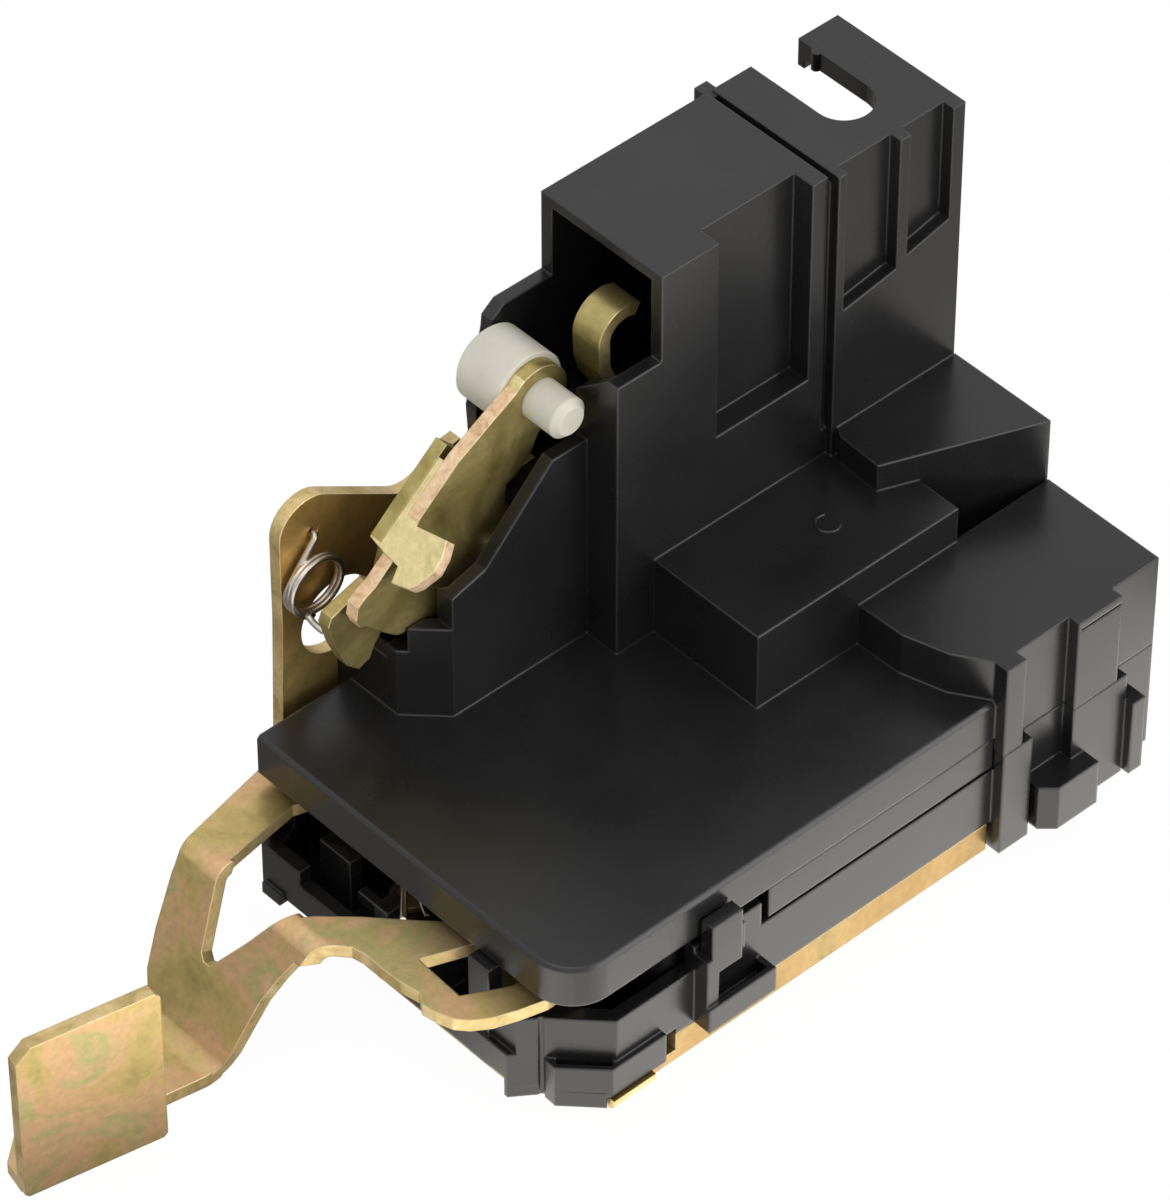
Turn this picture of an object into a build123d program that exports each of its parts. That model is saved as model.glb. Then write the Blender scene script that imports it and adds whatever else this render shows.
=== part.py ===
"""Door latch actuator: moulded housing on a steel bracket, hand levers and an electric locking drive.

Units are millimetres. +X points to the snap-loop side, +Y to the slotted tower and +Z up.
The origin is the centre of the bracket's bolt pattern, on the underside of its base plate.
"""

import os
from math import cos, pi, radians, sin

from build123d import *

os.makedirs("parts", exist_ok=True)

# ------------------------------------------------------------ fits, clearances and walls
seat_gap = 0.1
slide_gap = 0.35
running_fit = 0.05
wall = 2.0
mouth_wall = 1.6
edge_break = 0.5

# ------------------------------------------------------------ levels, from the bench up
base_thickness = 1.8
floor_thickness = 1.6
corner_low = 0.15
front_wall_low = 3.4
front_ledge = 8.0
lower_top = 14.5
frame_low = 15.2
frame_plate = 1.6
rim_low = 20.4
slab_top = 27.0
rear_seam = 18.2
shelf_top = 33.9
block_top = 39.8
wedge_top = 44.3
shoulder_top = 73.7
tower_top = 88.0
floor_top = base_thickness + floor_thickness
frame_top = rim_low - seat_gap
frame_under = frame_top - frame_plate

# ------------------------------------------------------------ plan of the body
half_width = 30.0
loop_reach = half_width + 3.0
plate_left = -half_width - 4.6
slab_front = -50.0
slab_back = 25.0
cover_back = 54.7
lower_front = -52.0
slab_corner = 6.5
corner_cut_x = half_width - 6.8
corner_cut_y = -41.8
corner_step_x = half_width - 9.6
corner_wall_left = half_width - 17.0
corner_box_top = 7.2
frame_front = -15.4
rear_step = 1.9

# ------------------------------------------------------------ channel, mouth and towers
tower_left = -half_width - 2.5
channel_right = -15.5
channel_front = -33.9
channel_diagonal = 5.2
front_wall_top = 42.5
front_notch = 38.4
front_notch_left = 36.0
channel_low = 47.9
channel_high = 61.3
ledge_front = -11.3
mouth_right = -9.8
shoulder_front = -5.4
mouth_front = 2.2
mouth_back = 31.0
groove_width = 1.0
groove_depth = 1.6
tower_right = -8.7
tower_back = 54.5
slot_near = 38.9
slot_width = 8.5
slot_end = -15.4
slot_plate = 3.0
tower_wall = 4.2
recess_depth = 3.5
recess_floor = 54.7
recess_front = 12.0
recess_back = 28.4
panel_depth = 1.9
block_right = 9.9
block_front = 1.2
block_back = 37.3
shelf_left = 9.5
shelf_front = 19.3
column_back = 28.4
face_front = 38.0
face_back = 46.0
roof = 2.0

# ------------------------------------------------------------ steel bracket
sheet = 2.0
bracket_front = -50.1
bracket_front_left = -14.0
bracket_corner = -46.0
bracket_back = 24.5
lip_height = 4.8
lip_front = -31.5
tab_front = -43.5
tab_back = -36.2
tab_reach = half_width + 1.4
latch_front = -44.2
latch_back = -12.0
latch_shelf = 54.0
latch_lobe = 5.0
latch_hole = 6.0
latch_hole_y = -33.8
latch_hole_z = 36.6
hook_hole = 0.9
hook_hole_y = -37.3
hook_hole_z = 53.5
bolt_x = 19.0
bolt_y = 17.0
bolt_hole = 2.5
bolt_collar = 4.4
bolt_collar_height = 2.2
rivet_radius = 1.5
rivet_head = 2.7
rivet_head_height = 1.0
rivet_places = [(-12.0, -40.0), (8.0, -40.0), (-22.0, 2.0)]

# ------------------------------------------------------------ release lever
lever_top = 18.4
lever_sheet = 2.0
lever_pivot_x = -25.5
lever_pivot_y = -38.0
lever_pin = 2.0
lever_hub = 6.0
lever_bend_y = -64.0
lever_slope = 63.0
lever_foot_top = -3.2
lever_bend = 3.0
pad_width = 20.8
pad_height = 26.8
pad_turn = 11.1
pad_corner_x = -7.7
pad_corner_y = -85.3
pad_chamfer = 2.2

# ------------------------------------------------------------ swing lever, pivoted across the channel
swing_pivot_y = -17.0
swing_pivot_z = 46.0
swing_pin = 2.0
eye_y = -9.6
eye_z = 68.1
eye_radius = 4.8
swing_slope = 40.6
web_right = -20.0
web_left = -23.0
swing_sheet = 2.0
bush_radius = 5.6
bush_length = 8.1
bush_pin = 3.0
bush_pin_length = 6.2
bush_bore = 1.6

# ------------------------------------------------------------ lock lever, slider and drive
lock_pivot_y = 12.0
lock_pivot_z = 44.0
lock_pin = 1.6
lock_left = -22.0
lock_width = 5.0
lock_sheet = 1.9
lock_arm = 21.0
bead_radius = 1.5
hook_y = 2.7
hook_z = 73.5
hook_radius = 4.7
hook_tip_angle = 58.0
module = 1.0
wheel_teeth = 24
pinion_teeth = 10
wheel_y = 7.0
drive_z = 12.0
wheel_face = 4.0
axle_radius = 1.5
worm_pitch_radius = 4.0
worm_length = 18.0
slider_thickness = 3.2
motor_front = 24.0
motor_length = 22.0
motor_width = 20.0
motor_height = 15.0
motor_cap = 3.5
shaft_radius = 1.0
armature_radius = 6.2
magnet_bore = 7.0

# ------------------------------------------------------------ board, connector, switches and screws
board_thickness = 1.6
board_z = 6.0
board_left = 4.0 - half_width
board_right = 3.0
board_front = 27.0
board_back = 43.6
socket_left = -23.5
socket_right = -4.5
socket_low = 6.5
socket_high = 17.2
socket_floor = 45.6
blade_count = 5
blade_pitch = 3.2
blade_width = 1.6
blade_thickness = 0.8
switch_width = 8.0
switch_depth = 6.0
switch_height = 6.0
switch_places = [(-18.0, 32.0), (-8.0, 32.0)]
plunger_radius = 0.9
plunger_rise = 1.0
screw_radius = 1.25
screw_head = 2.3
screw_head_height = 1.8
screw_post = 2.9
front_screw = (half_width - 5.4, -30.0)
frame_screws = [(half_width - 5.3, 14.0), (4.0 - half_width, -11.5), (4.0 - half_width, 21.0)]
rear_screws = [(1.6, 48.5), (4.0 - half_width, 48.8)]

# ------------------------------------------------------------ derived levels and places
lever_low = lever_top - lever_sheet
motor_x = half_width - wall - 1.9 - motor_width / 2
wheel_x = motor_x - module * wheel_teeth / 2 - worm_pitch_radius - seat_gap
motor_back = motor_front + motor_length
motor_low = drive_z - motor_height / 2
wheel_low = drive_z - wheel_face / 2
pinion_top = 18.2
slider_left = wheel_x - module * pinion_teeth / 2 - 4.4
slider_low = 14.6
slider_top = slider_low + slider_thickness
worm_root = worm_pitch_radius - 1.25 * module
worm_front = -1.5
thread_front = 1.58
board_top = board_z + board_thickness
switch_top = board_top + switch_height
pocket_top = 5.2
tower_floor = 60.0
screw_tip = 24.4
screw_socket = 1.0
spring_wire = 0.45
spring_peg = (-14.5, -35.5)
peg_winding = 3.2
peg_winding_low = 9.0
peg_winding_high = 14.0
toggle_y = -38.6
toggle_z = 46.1
toggle_winding = 4.4
toggle_left = plate_left + sheet + 0.4
toggle_width = 2.4
bush_neck = 2.2
blade_z = 11.4
panels = [(33.4, 64.5, 42.9, 66.1), (44.8, 67.4, 52.4, 69.2)]
lug_reach = 2.1
lip_drop = 1.4


# ============================================================ shared outline helpers
def outline(plane, points):
    """A flat face on a plane, from its corner points."""
    with BuildSketch(plane) as face:
        with BuildLine():
            Polyline(*points, close=True)
        make_face()
    return face.sketch


def plan_prism(points, low, high, mode=Mode.ADD):
    """Raise an (x, y) outline from one height to another."""
    extrude(outline(Plane.XY.offset(low), points), amount=high - low, mode=mode)


def side_prism(points, left, right, mode=Mode.ADD):
    """Stretch a (y, z) outline from one x to another."""
    extrude(outline(Plane.YZ.offset(left), points), amount=right - left, mode=mode)


def front_prism(points, front, back, mode=Mode.ADD):
    """Stretch an (x, z) outline from one y to another."""
    extrude(outline(Plane.XZ.offset(-back), points), amount=back - front, mode=mode)


def cuboid(x_span, y_span, z_span, mode=Mode.ADD):
    """A box between two values on each axis."""
    spans = (x_span, y_span, z_span)
    with Locations(tuple(sum(span) / 2 for span in spans)):
        Box(*(high - low for low, high in spans), mode=mode)


def round_bar(plane, place, radius, length, mode=Mode.ADD):
    """A round bar that stands on a plane at a local place."""
    with BuildSketch(plane) as disc:
        with Locations(place):
            Circle(radius)
    extrude(disc.sketch, amount=length, mode=mode)


def upright(x, y, radius, low, high, mode=Mode.ADD):
    """A round bar along Z."""
    round_bar(Plane.XY.offset(low), (x, y), radius, high - low, mode)


def crossbar(y, z, radius, left, right, mode=Mode.ADD):
    """A round bar along X."""
    round_bar(Plane.YZ.offset(left), (y, z), radius, right - left, mode)


def longbar(x, z, radius, front, back, mode=Mode.ADD):
    """A round bar along Y."""
    round_bar(Plane.XZ.offset(-back), (x, z), radius, back - front, mode)


def finish(builder, name):
    """Label a finished piece and write it out."""
    builder.part.label = name
    export_step(builder.part, f"parts/{name}.step")


def blade_x(index):
    """Centre of one connector blade."""
    return (socket_left + socket_right) / 2 + (index - (blade_count - 1) / 2) * blade_pitch


# ============================================================ top cover
diagonal_end = channel_right - channel_diagonal
inner_left = tower_left + wall
inner_right = channel_right - wall
mouth_inner = mouth_right - wall
recess_x = mouth_right - recess_depth
roof_under = slab_top - roof
rear_low = rear_seam + seat_gap
tower_outline = [
    (tower_left, channel_front), (diagonal_end, channel_front),
    (channel_right, channel_front + channel_diagonal), (channel_right, shoulder_front),
    (mouth_right, shoulder_front),
    (mouth_right, mouth_back + groove_width), (tower_right, mouth_back + groove_width),
    (tower_right, tower_back), (tower_left, tower_back),
]
channel_outline = [
    (inner_left, channel_front + wall), (diagonal_end - 1.0, channel_front + wall),
    (inner_right, channel_front + channel_diagonal + 1.0), (inner_right, shoulder_front + wall),
    (mouth_inner, shoulder_front + wall),
    (mouth_inner, recess_front - mouth_wall), (recess_x - wall, recess_front - mouth_wall),
    (recess_x - wall, mouth_back - mouth_wall), (inner_left, mouth_back - mouth_wall),
]
clear_top = tower_top + 2
right_trim = [
    (channel_front - 1, clear_top), (channel_front - 1, front_wall_top),
    (channel_front + channel_diagonal, front_wall_top), (channel_front + channel_diagonal, channel_low),
    (-23.0, 49.5), (ledge_front, channel_high), (shoulder_front, channel_high),
    (shoulder_front, shoulder_top), (mouth_front, shoulder_top), (mouth_front, clear_top),
]
shoulder_slope = [(channel_right - wall - 1, shoulder_top + 1), (channel_right - wall - 1, 68.0),
                  (mouth_right - 0.8, shoulder_top + 1)]
left_trim = [
    (channel_front - 1, clear_top), (channel_front - 1, front_notch_left), (-24.0, front_notch_left),
    (-21.0, 49.0), (-14.0, 52.0), (-10.8, 54.7), (-11.1, 59.5), (-8.4, 71.4), (-8.2, 73.4),
    (-6.1, 75.0), (mouth_front, 75.0), (mouth_front, clear_top),
]
channel_middle = (tower_left + channel_right) / 2
shelf_outline = [(shelf_left, shelf_front), (17.7, 19.6), (half_width - 5.7, 21.6),
                 (half_width - 0.5, slab_back), (half_width, slab_back), (half_width, cover_back),
                 (shelf_left, cover_back)]
shelf_cavity = [(shelf_left + wall, shelf_front + wall), (17.2, 21.6), (half_width - 6.6, 23.4),
                (half_width - wall, 26.4), (half_width - wall, cover_back - wall),
                (shelf_left + wall, cover_back - wall)]
wedge_outline = [(tower_right, cover_back), (9.3, cover_back), (0.3, 31.7), (-7.3, 32.1),
                 (tower_right, 33.0)]
slot_y = slot_near + slot_width / 2
slot_far = slot_near + slot_width
side_right = half_width + rear_step

with BuildPart() as top_cover:
    # slab with one large rounded corner
    with BuildSketch(Plane.XY.offset(rim_low)) as slab_plan:
        with Locations((0, (slab_front + slab_back) / 2)):
            Rectangle(2 * half_width, slab_back - slab_front)
        fillet(slab_plan.vertices().group_by(Axis.Y)[0].sort_by(Axis.X)[-1], slab_corner)
    extrude(slab_plan.sketch, amount=slab_top - rim_low)
    top_face = top_cover.faces().sort_by(Axis.Z)[-1]
    chamfer(top_face.edges().group_by(Axis.Y)[0], edge_break)
    # rear body, shelf, block, wedge and the full-height tower mass
    cuboid((tower_left, half_width), (slab_back, cover_back), (rear_low, slab_top))
    plan_prism(shelf_outline, rim_low, shelf_top)
    cuboid((half_width - wall, side_right), (slab_back, column_back), (rear_low, shelf_top))
    cuboid((half_width - wall, side_right), (face_front, face_back), (rear_low, shelf_top))
    cuboid((half_width, side_right + 1), (face_front + edge_break, face_back),
           (shelf_top - 1.6, shelf_top - 1.2), Mode.SUBTRACT)
    cuboid((mouth_right - wall, block_right), (block_front, block_back), (slab_top - edge_break, block_top))
    plan_prism(wedge_outline, slab_top - edge_break, wedge_top)
    plan_prism(tower_outline, rim_low, tower_top)
    # wall profiles of the channel, right side then left side
    side_prism(right_trim, channel_middle, tower_right + 1, Mode.SUBTRACT)
    side_prism(left_trim, tower_left - 1, channel_middle, Mode.SUBTRACT)
    front_prism(shoulder_slope, shoulder_front - 1, shoulder_front + wall, Mode.SUBTRACT)
    # low stretches of the front wall, where the two webs of the swing lever pass over it
    front_wall_span = (channel_front - 1, channel_front + channel_diagonal)
    cuboid((channel_middle - 1, web_left + slide_gap), front_wall_span, (front_notch_left, front_wall_top + 1),
           Mode.SUBTRACT)
    cuboid((web_left, web_right + slide_gap), front_wall_span, (front_notch, front_wall_top + 1), Mode.SUBTRACT)
    # channel and mouth, one hollow under the mouth's roof
    plan_prism(channel_outline, slab_top, tower_top - mouth_wall, Mode.SUBTRACT)
    # recess and shallow rear panels on the tower's right face
    cuboid((recess_x, clear_top), (recess_front, recess_back), (recess_floor, clear_top), Mode.SUBTRACT)
    for front, front_low, back, back_low in panels:
        side_prism([(front, front_low), (back, back_low), (back, clear_top), (front, clear_top)],
                   tower_right - panel_depth, tower_right + 1, Mode.SUBTRACT)
    # groove over the roof and down the right face, between the mouth and the slotted tower
    cuboid((tower_left - 1, clear_top), (mouth_back, mouth_back + groove_width),
           (tower_top - groove_depth, clear_top), Mode.SUBTRACT)
    cuboid((tower_right - groove_depth, clear_top), (mouth_back, mouth_back + groove_width),
           (wedge_top, clear_top), Mode.SUBTRACT)
    # slotted tower: open below its plate to the left and to the rear
    cuboid((tower_left - 1, tower_right - tower_wall), (mouth_back + groove_width + wall, cover_back + 1),
           (tower_floor, tower_top - slot_plate), Mode.SUBTRACT)
    cuboid((tower_left - 1, slot_end - slot_width / 2), (slot_near, slot_far), (tower_floor, clear_top),
           Mode.SUBTRACT)
    upright(slot_end - slot_width / 2, slot_y, slot_width / 2, tower_floor, clear_top, Mode.SUBTRACT)
    # lips under the plate's two arms, a nub on the slot's far edge and a lug at the groove's left end
    for near, far in ((mouth_back + groove_width, slot_near), (slot_far, tower_back)):
        cuboid((tower_left, tower_left + 1.2), (near, far), (tower_top - slot_plate - lip_drop, tower_top - 1))
    upright(tower_left + 3.4, slot_far, 0.7, tower_top - slot_plate, tower_top)
    cuboid((tower_left - lug_reach, tower_left + 1), (mouth_back - 0.2, mouth_back + 2),
           (tower_top - slot_plate, tower_top - 0.4))
    # hollows on the underside
    cuboid((wall - half_width, half_width - wall), (slab_front + wall, slab_back), (rim_low, roof_under),
           Mode.SUBTRACT)
    cuboid((wall - half_width, half_width - wall), (slab_back - 1, cover_back - wall), (rear_low, roof_under),
           Mode.SUBTRACT)
    plan_prism(shelf_cavity, rear_low, shelf_top - roof, Mode.SUBTRACT)
    cuboid((mouth_right, block_right - wall), (block_front + wall, block_back - wall),
           (rim_low, block_top - roof), Mode.SUBTRACT)
    cuboid((inner_left, tower_right - tower_wall), (mouth_back + groove_width + wall, tower_back - wall),
           (rear_low, tower_floor - wall), Mode.SUBTRACT)
    # window through the channel floor for the lock lever's lower arm
    cuboid((lock_left - 1.5, lock_left + lock_width + 1.0), (lock_pivot_y - 6, lock_pivot_y + 6),
           (rim_low, slab_top + 1), Mode.SUBTRACT)
    # pin seats across the channel and across the mouth
    crossbar(swing_pivot_y, swing_pivot_z, 4.0, inner_left - 0.5, inner_left + 1.5)
    crossbar(swing_pivot_y, swing_pivot_z, swing_pin + running_fit, inner_left - 1, channel_right - 0.6,
             Mode.SUBTRACT)
    crossbar(lock_pivot_y, lock_pivot_z, lock_pin + running_fit, inner_left - 1, recess_x + 1, Mode.SUBTRACT)
    # screw posts that hang from the roof
    for place in [front_screw] + frame_screws:
        upright(*place, screw_post, rim_low, slab_top - edge_break)
    for place in rear_screws:
        upright(*place, screw_post, rear_low, slab_top - edge_break)
    cuboid((inner_left - 0.5, rear_screws[1][0]), (rear_screws[1][1] - 1.4, rear_screws[1][1] + 1.4),
           (rim_low, slab_top - edge_break))
    for place in [front_screw] + frame_screws + rear_screws:
        upright(*place, screw_radius + running_fit, rear_low - 1, screw_tip + seat_gap, Mode.SUBTRACT)
finish(top_cover, "top_cover")


# ============================================================ middle frame
with BuildPart() as middle_frame:
    cuboid((-half_width, half_width), (frame_front, slab_back - seat_gap), (frame_under, frame_top))
    for side in (-1, 1):
        inner, outer = sorted((side * (half_width - wall), side * half_width))
        cuboid((inner, outer), (frame_front, slab_back - seat_gap), (frame_low, frame_under))
    # rails beside the slider and pads above it
    for front, back in ((-6.0, 4.2), (19.8, slab_back - seat_gap)):
        cuboid((slider_left - slide_gap - 2.4, slider_left - slide_gap), (front, back),
               (frame_low, frame_under))
    for left, right in ((-17.5, -14.5), (wall + 2.0 - half_width, wall + 3.0 - half_width)):
        cuboid((left, right), (6.0, 18.0), (slider_top + slide_gap, frame_under))
    # window for the slider's fork, seat of the wheel axle and the screw holes
    cuboid((lock_left - 1.5, lock_left + 4.5), (lock_pivot_y - 7.8, lock_pivot_y + 7.8),
           (frame_low, frame_top), Mode.SUBTRACT)
    upright(wheel_x, wheel_y, axle_radius + running_fit, frame_low, frame_top, Mode.SUBTRACT)
    cuboid((motor_x - motor_width / 2 - seat_gap, half_width - wall), (motor_front - wall, slab_back + 1),
           (frame_low, frame_top), Mode.SUBTRACT)
    for place in frame_screws:
        upright(*place, screw_radius + seat_gap, frame_low, frame_top, Mode.SUBTRACT)
        upright(*place, screw_post + seat_gap, frame_low - 1, frame_under, Mode.SUBTRACT)
finish(middle_frame, "middle_frame")


# ============================================================ lower housing
lower_outline = [
    (2.5 - half_width, lower_front), (corner_step_x, lower_front), (corner_cut_x, -48.3),
    (half_width, corner_cut_y), (half_width, cover_back), (-half_width, cover_back), (-half_width, -44.0),
]
# low box around the right front corner, the pocket in its top and the foot below it
corner_box_x = half_width + 0.9
corner_box = [
    (corner_cut_x - 0.2, -48.4), (half_width - 4.4, -48.5), (corner_box_x, -43.3), (corner_box_x, -34.0),
    (half_width - 1, -34.0), (half_width - 1, corner_cut_y), (corner_cut_x, -47.2),
]
corner_pocket = [
    (half_width - 5.6, -47.2), (half_width - 0.4, -42.15), (half_width + 0.3, -42.85),
    (half_width - 4.95, -47.9),
]
corner_foot = [
    (corner_step_x - 0.6, lower_front), (corner_step_x, lower_front), (corner_cut_x - 0.2, -48.4),
    (half_width - 4.4, -48.5), (half_width + 0.4, tab_front - slide_gap),
    (half_width - 6.3, tab_front - slide_gap), (half_width - 6.3, bracket_corner - slide_gap),
    (half_width - 11.8, bracket_corner - slide_gap),
    (half_width - 11.8, bracket_front - slide_gap), (corner_step_x - 0.6, bracket_front - slide_gap),
]
lower_cavity = [
    (4.5 - half_width, lower_front + wall), (corner_step_x - wall, lower_front + wall),
    (corner_step_x - wall, -46.3),
    (corner_cut_x - 1.0, -46.3), (half_width - wall, corner_cut_y + 1.0),
    (half_width - wall, cover_back - wall),
    (wall - half_width, cover_back - wall), (wall - half_width, -43.4),
]
catch_reach = half_width + 4.8
catch_outline = [(half_width - 1, 31.0), (half_width + 3, 31.0), (catch_reach, 33.0), (catch_reach, 40.4),
                 (half_width - 1, 40.4)]
deep_floor = 2.0
rear_bottom = 0.2
with BuildPart() as lower_housing:
    plan_prism(lower_outline, base_thickness + seat_gap, lower_top)
    cuboid((-half_width, half_width), (slab_back + seat_gap, cover_back), (rear_bottom, rear_seam))
    plan_prism(lower_cavity, floor_top, rear_seam + 1, Mode.SUBTRACT)
    cuboid((wall - half_width, half_width - wall), (slab_back + wall, cover_back - wall),
           (deep_floor, rear_seam + 1), Mode.SUBTRACT)
    # the front is open above a low ledge, with a taller corner on the left
    cuboid((-20.0, corner_wall_left), (lower_front - 1, -47.0), (front_ledge, rear_seam), Mode.SUBTRACT)
    cuboid((wall - half_width, -20.0), (lower_front - 1, -47.0), (front_ledge + 2.6, rear_seam), Mode.SUBTRACT)
    cuboid((corner_wall_left, corner_step_x + 1), (lower_front - 1, lower_front + 1.0),
           (front_ledge, rear_seam), Mode.SUBTRACT)
    # the front wall ends above the plate's edge, and has a small foot at its left end
    cuboid((-half_width - 1, corner_step_x - 0.6), (lower_front - 1, lower_front + 1.4),
           (base_thickness, front_wall_low), Mode.SUBTRACT)
    cuboid((3.0 - half_width, 6.5 - half_width), (lower_front - 0.6, lower_front + wall),
           (base_thickness + slide_gap, front_wall_low + 0.6))
    # right front corner: low box with a pocket, foot down to the base plane and a groove at its left
    plan_prism(corner_box, base_thickness + slide_gap, corner_box_top)
    plan_prism(corner_foot, corner_low, base_thickness + 1)
    plan_prism(corner_pocket, corner_box_top - 3.0, corner_box_top, Mode.SUBTRACT)
    upright(corner_cut_x, -48.6, 0.45, corner_low, lower_top, Mode.SUBTRACT)
    # ribs seen through the open front
    cuboid((-21.0, -15.0), (-47.5, -45.5), (floor_top - 1, 13.0))
    cuboid((-8.0, -5.5), (-49.5, -46.0), (floor_top - 1, 12.2))
    cuboid((-12.5, -1.5), (-48.4, -47.0), (8.6, 10.4))
    cuboid((2.0, 3.6), (-50.5, -44.0), (floor_top - 1, 11.5))
    # post that stops the release lever at both ends of its travel
    cuboid((12.6, 16.4), (-51.5, -49.2), (floor_top - 1, lever_top + 1.6))
    # seat of the bracket's lip along the right side
    cuboid((half_width - wall, half_width + 1), (lip_front - seat_gap, slab_back + seat_gap),
           (base_thickness, lip_height + seat_gap), Mode.SUBTRACT)
    cuboid((half_width - wall, half_width + 1), (-34.0, lip_front), (base_thickness, lip_height + 1),
           Mode.SUBTRACT)
    cuboid((half_width - 2 * wall, half_width - wall - seat_gap), (lip_front - 2 * wall, slab_back + seat_gap),
           (floor_top - 1, lip_height + wall))
    cuboid((half_width - wall - 0.3, half_width), (lip_front, slab_back), (lip_height + seat_gap, 8.0))
    # snap basket on the side wall, with its tongue beside the cover's rim
    cuboid((half_width - wall, half_width), (-28.4, -16.7), (lower_top - 1, 18.6))
    cuboid((half_width - 0.5, loop_reach), (-28.4, -16.7), (lip_height + seat_gap, 9.0))
    cuboid((half_width, loop_reach - 0.8), (-26.4, -17.5), (6.6, 10.0), Mode.SUBTRACT)
    cuboid((half_width - 0.5, loop_reach - 0.5), (-28.4, -26.4), (8.0, 17.5))
    cuboid((half_width - 0.5, half_width + 1.0), (-27.0, -20.5), (14.0, 18.6))
    cuboid((half_width + slide_gap, loop_reach - 0.5), (-27.6, -22.4), (14.6, 23.4))
    # rear right: split column, catch block with its slot, plain face and low boss
    cuboid((half_width - wall, side_right), (slab_back + seat_gap, column_back + 2), (rear_bottom, rear_seam))
    plan_prism(catch_outline, 1.6, 9.2)
    cuboid((half_width - wall, side_right), (face_front, 48.0), (rear_bottom, rear_seam))
    cuboid((half_width - wall, side_right + 1.4), (48.0, 50.4), (0.7, 13.6))
    # pivot boss of the release lever
    upright(lever_pivot_x, lever_pivot_y, 4.2, floor_top - 1, lever_low - slide_gap)
    upright(lever_pivot_x, lever_pivot_y, lever_pin + running_fit, 8.0, lower_top + 4, Mode.SUBTRACT)
    upright(*spring_peg, 2.4, floor_top - 1, lever_low - slide_gap)
    # slider ribs, wheel seat, tail bearing pedestal and motor cradles
    cuboid((-16.0, -14.2), (0.0, 24.0), (floor_top - 1, slider_low - slide_gap))
    cuboid((1.5 - half_width, 4.5 - half_width), (4.0, 17.0), (floor_top - 1, slider_low - slide_gap))
    upright(wheel_x, wheel_y, 3.4, floor_top - 1, wheel_low - slide_gap)
    upright(wheel_x, wheel_y, axle_radius + running_fit, base_thickness + 1, lower_top, Mode.SUBTRACT)
    cuboid((motor_x - 5, motor_x + 5), (-8.0, -4.0), (floor_top - 1, drive_z - 0.2))
    longbar(motor_x, drive_z, 2.5 + running_fit, -9.0, -3.0, Mode.SUBTRACT)
    for front, back in ((26.5, 28.5), (41.0, 43.0)):
        cuboid((motor_x - 9, motor_x + 9), (front, back), (deep_floor - 1, motor_low - seat_gap))
    # board posts and the connector's shroud at the rear
    for x in (board_left + 3, board_right - 3):
        for y in (board_front + 3, board_back - 3):
            upright(x, y, 1.8, deep_floor - 1, board_z)
    cuboid((socket_left - mouth_wall, socket_right + mouth_wall), (socket_floor - mouth_wall, cover_back),
           (deep_floor - 1, socket_high + 0.9))
    cuboid((socket_left, socket_right), (socket_floor, cover_back + 1), (socket_low, socket_high),
           Mode.SUBTRACT)
    for index in range(blade_count):
        x = blade_x(index)
        cuboid((x - blade_width / 2 - seat_gap, x + blade_width / 2 + seat_gap),
               (socket_floor - wall, socket_floor + 1),
               (blade_z - seat_gap, blade_z + blade_thickness + seat_gap), Mode.SUBTRACT)
    # pockets above the bracket's threaded collars, and bores for rivets and screws
    for x in (-bolt_x, bolt_x):
        for y in (-bolt_y, bolt_y):
            upright(x, y, bolt_collar + 1.4, floor_top - 1, pocket_top + 1.2)
    for place in rivet_places:
        upright(*place, rivet_radius + seat_gap, base_thickness, floor_top + 1, Mode.SUBTRACT)
    upright(*front_screw, screw_post, floor_top - 1, rim_low - seat_gap)
    for place in frame_screws:
        upright(*place, screw_post, floor_top - 1, frame_under - seat_gap)
    for place in rear_screws:
        upright(*place, screw_post + 0.7, rear_bottom, rear_seam)
        upright(*place, screw_head + seat_gap, rear_bottom - 1, screw_head_height + seat_gap, Mode.SUBTRACT)
    for x in (-bolt_x, bolt_x):
        for y in (-bolt_y, bolt_y):
            upright(x, y, bolt_collar + seat_gap, base_thickness, pocket_top, Mode.SUBTRACT)
    for place in [front_screw] + frame_screws + rear_screws:
        upright(*place, screw_radius + seat_gap, rear_bottom - 1, rim_low, Mode.SUBTRACT)
finish(lower_housing, "lower_housing")


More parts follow.
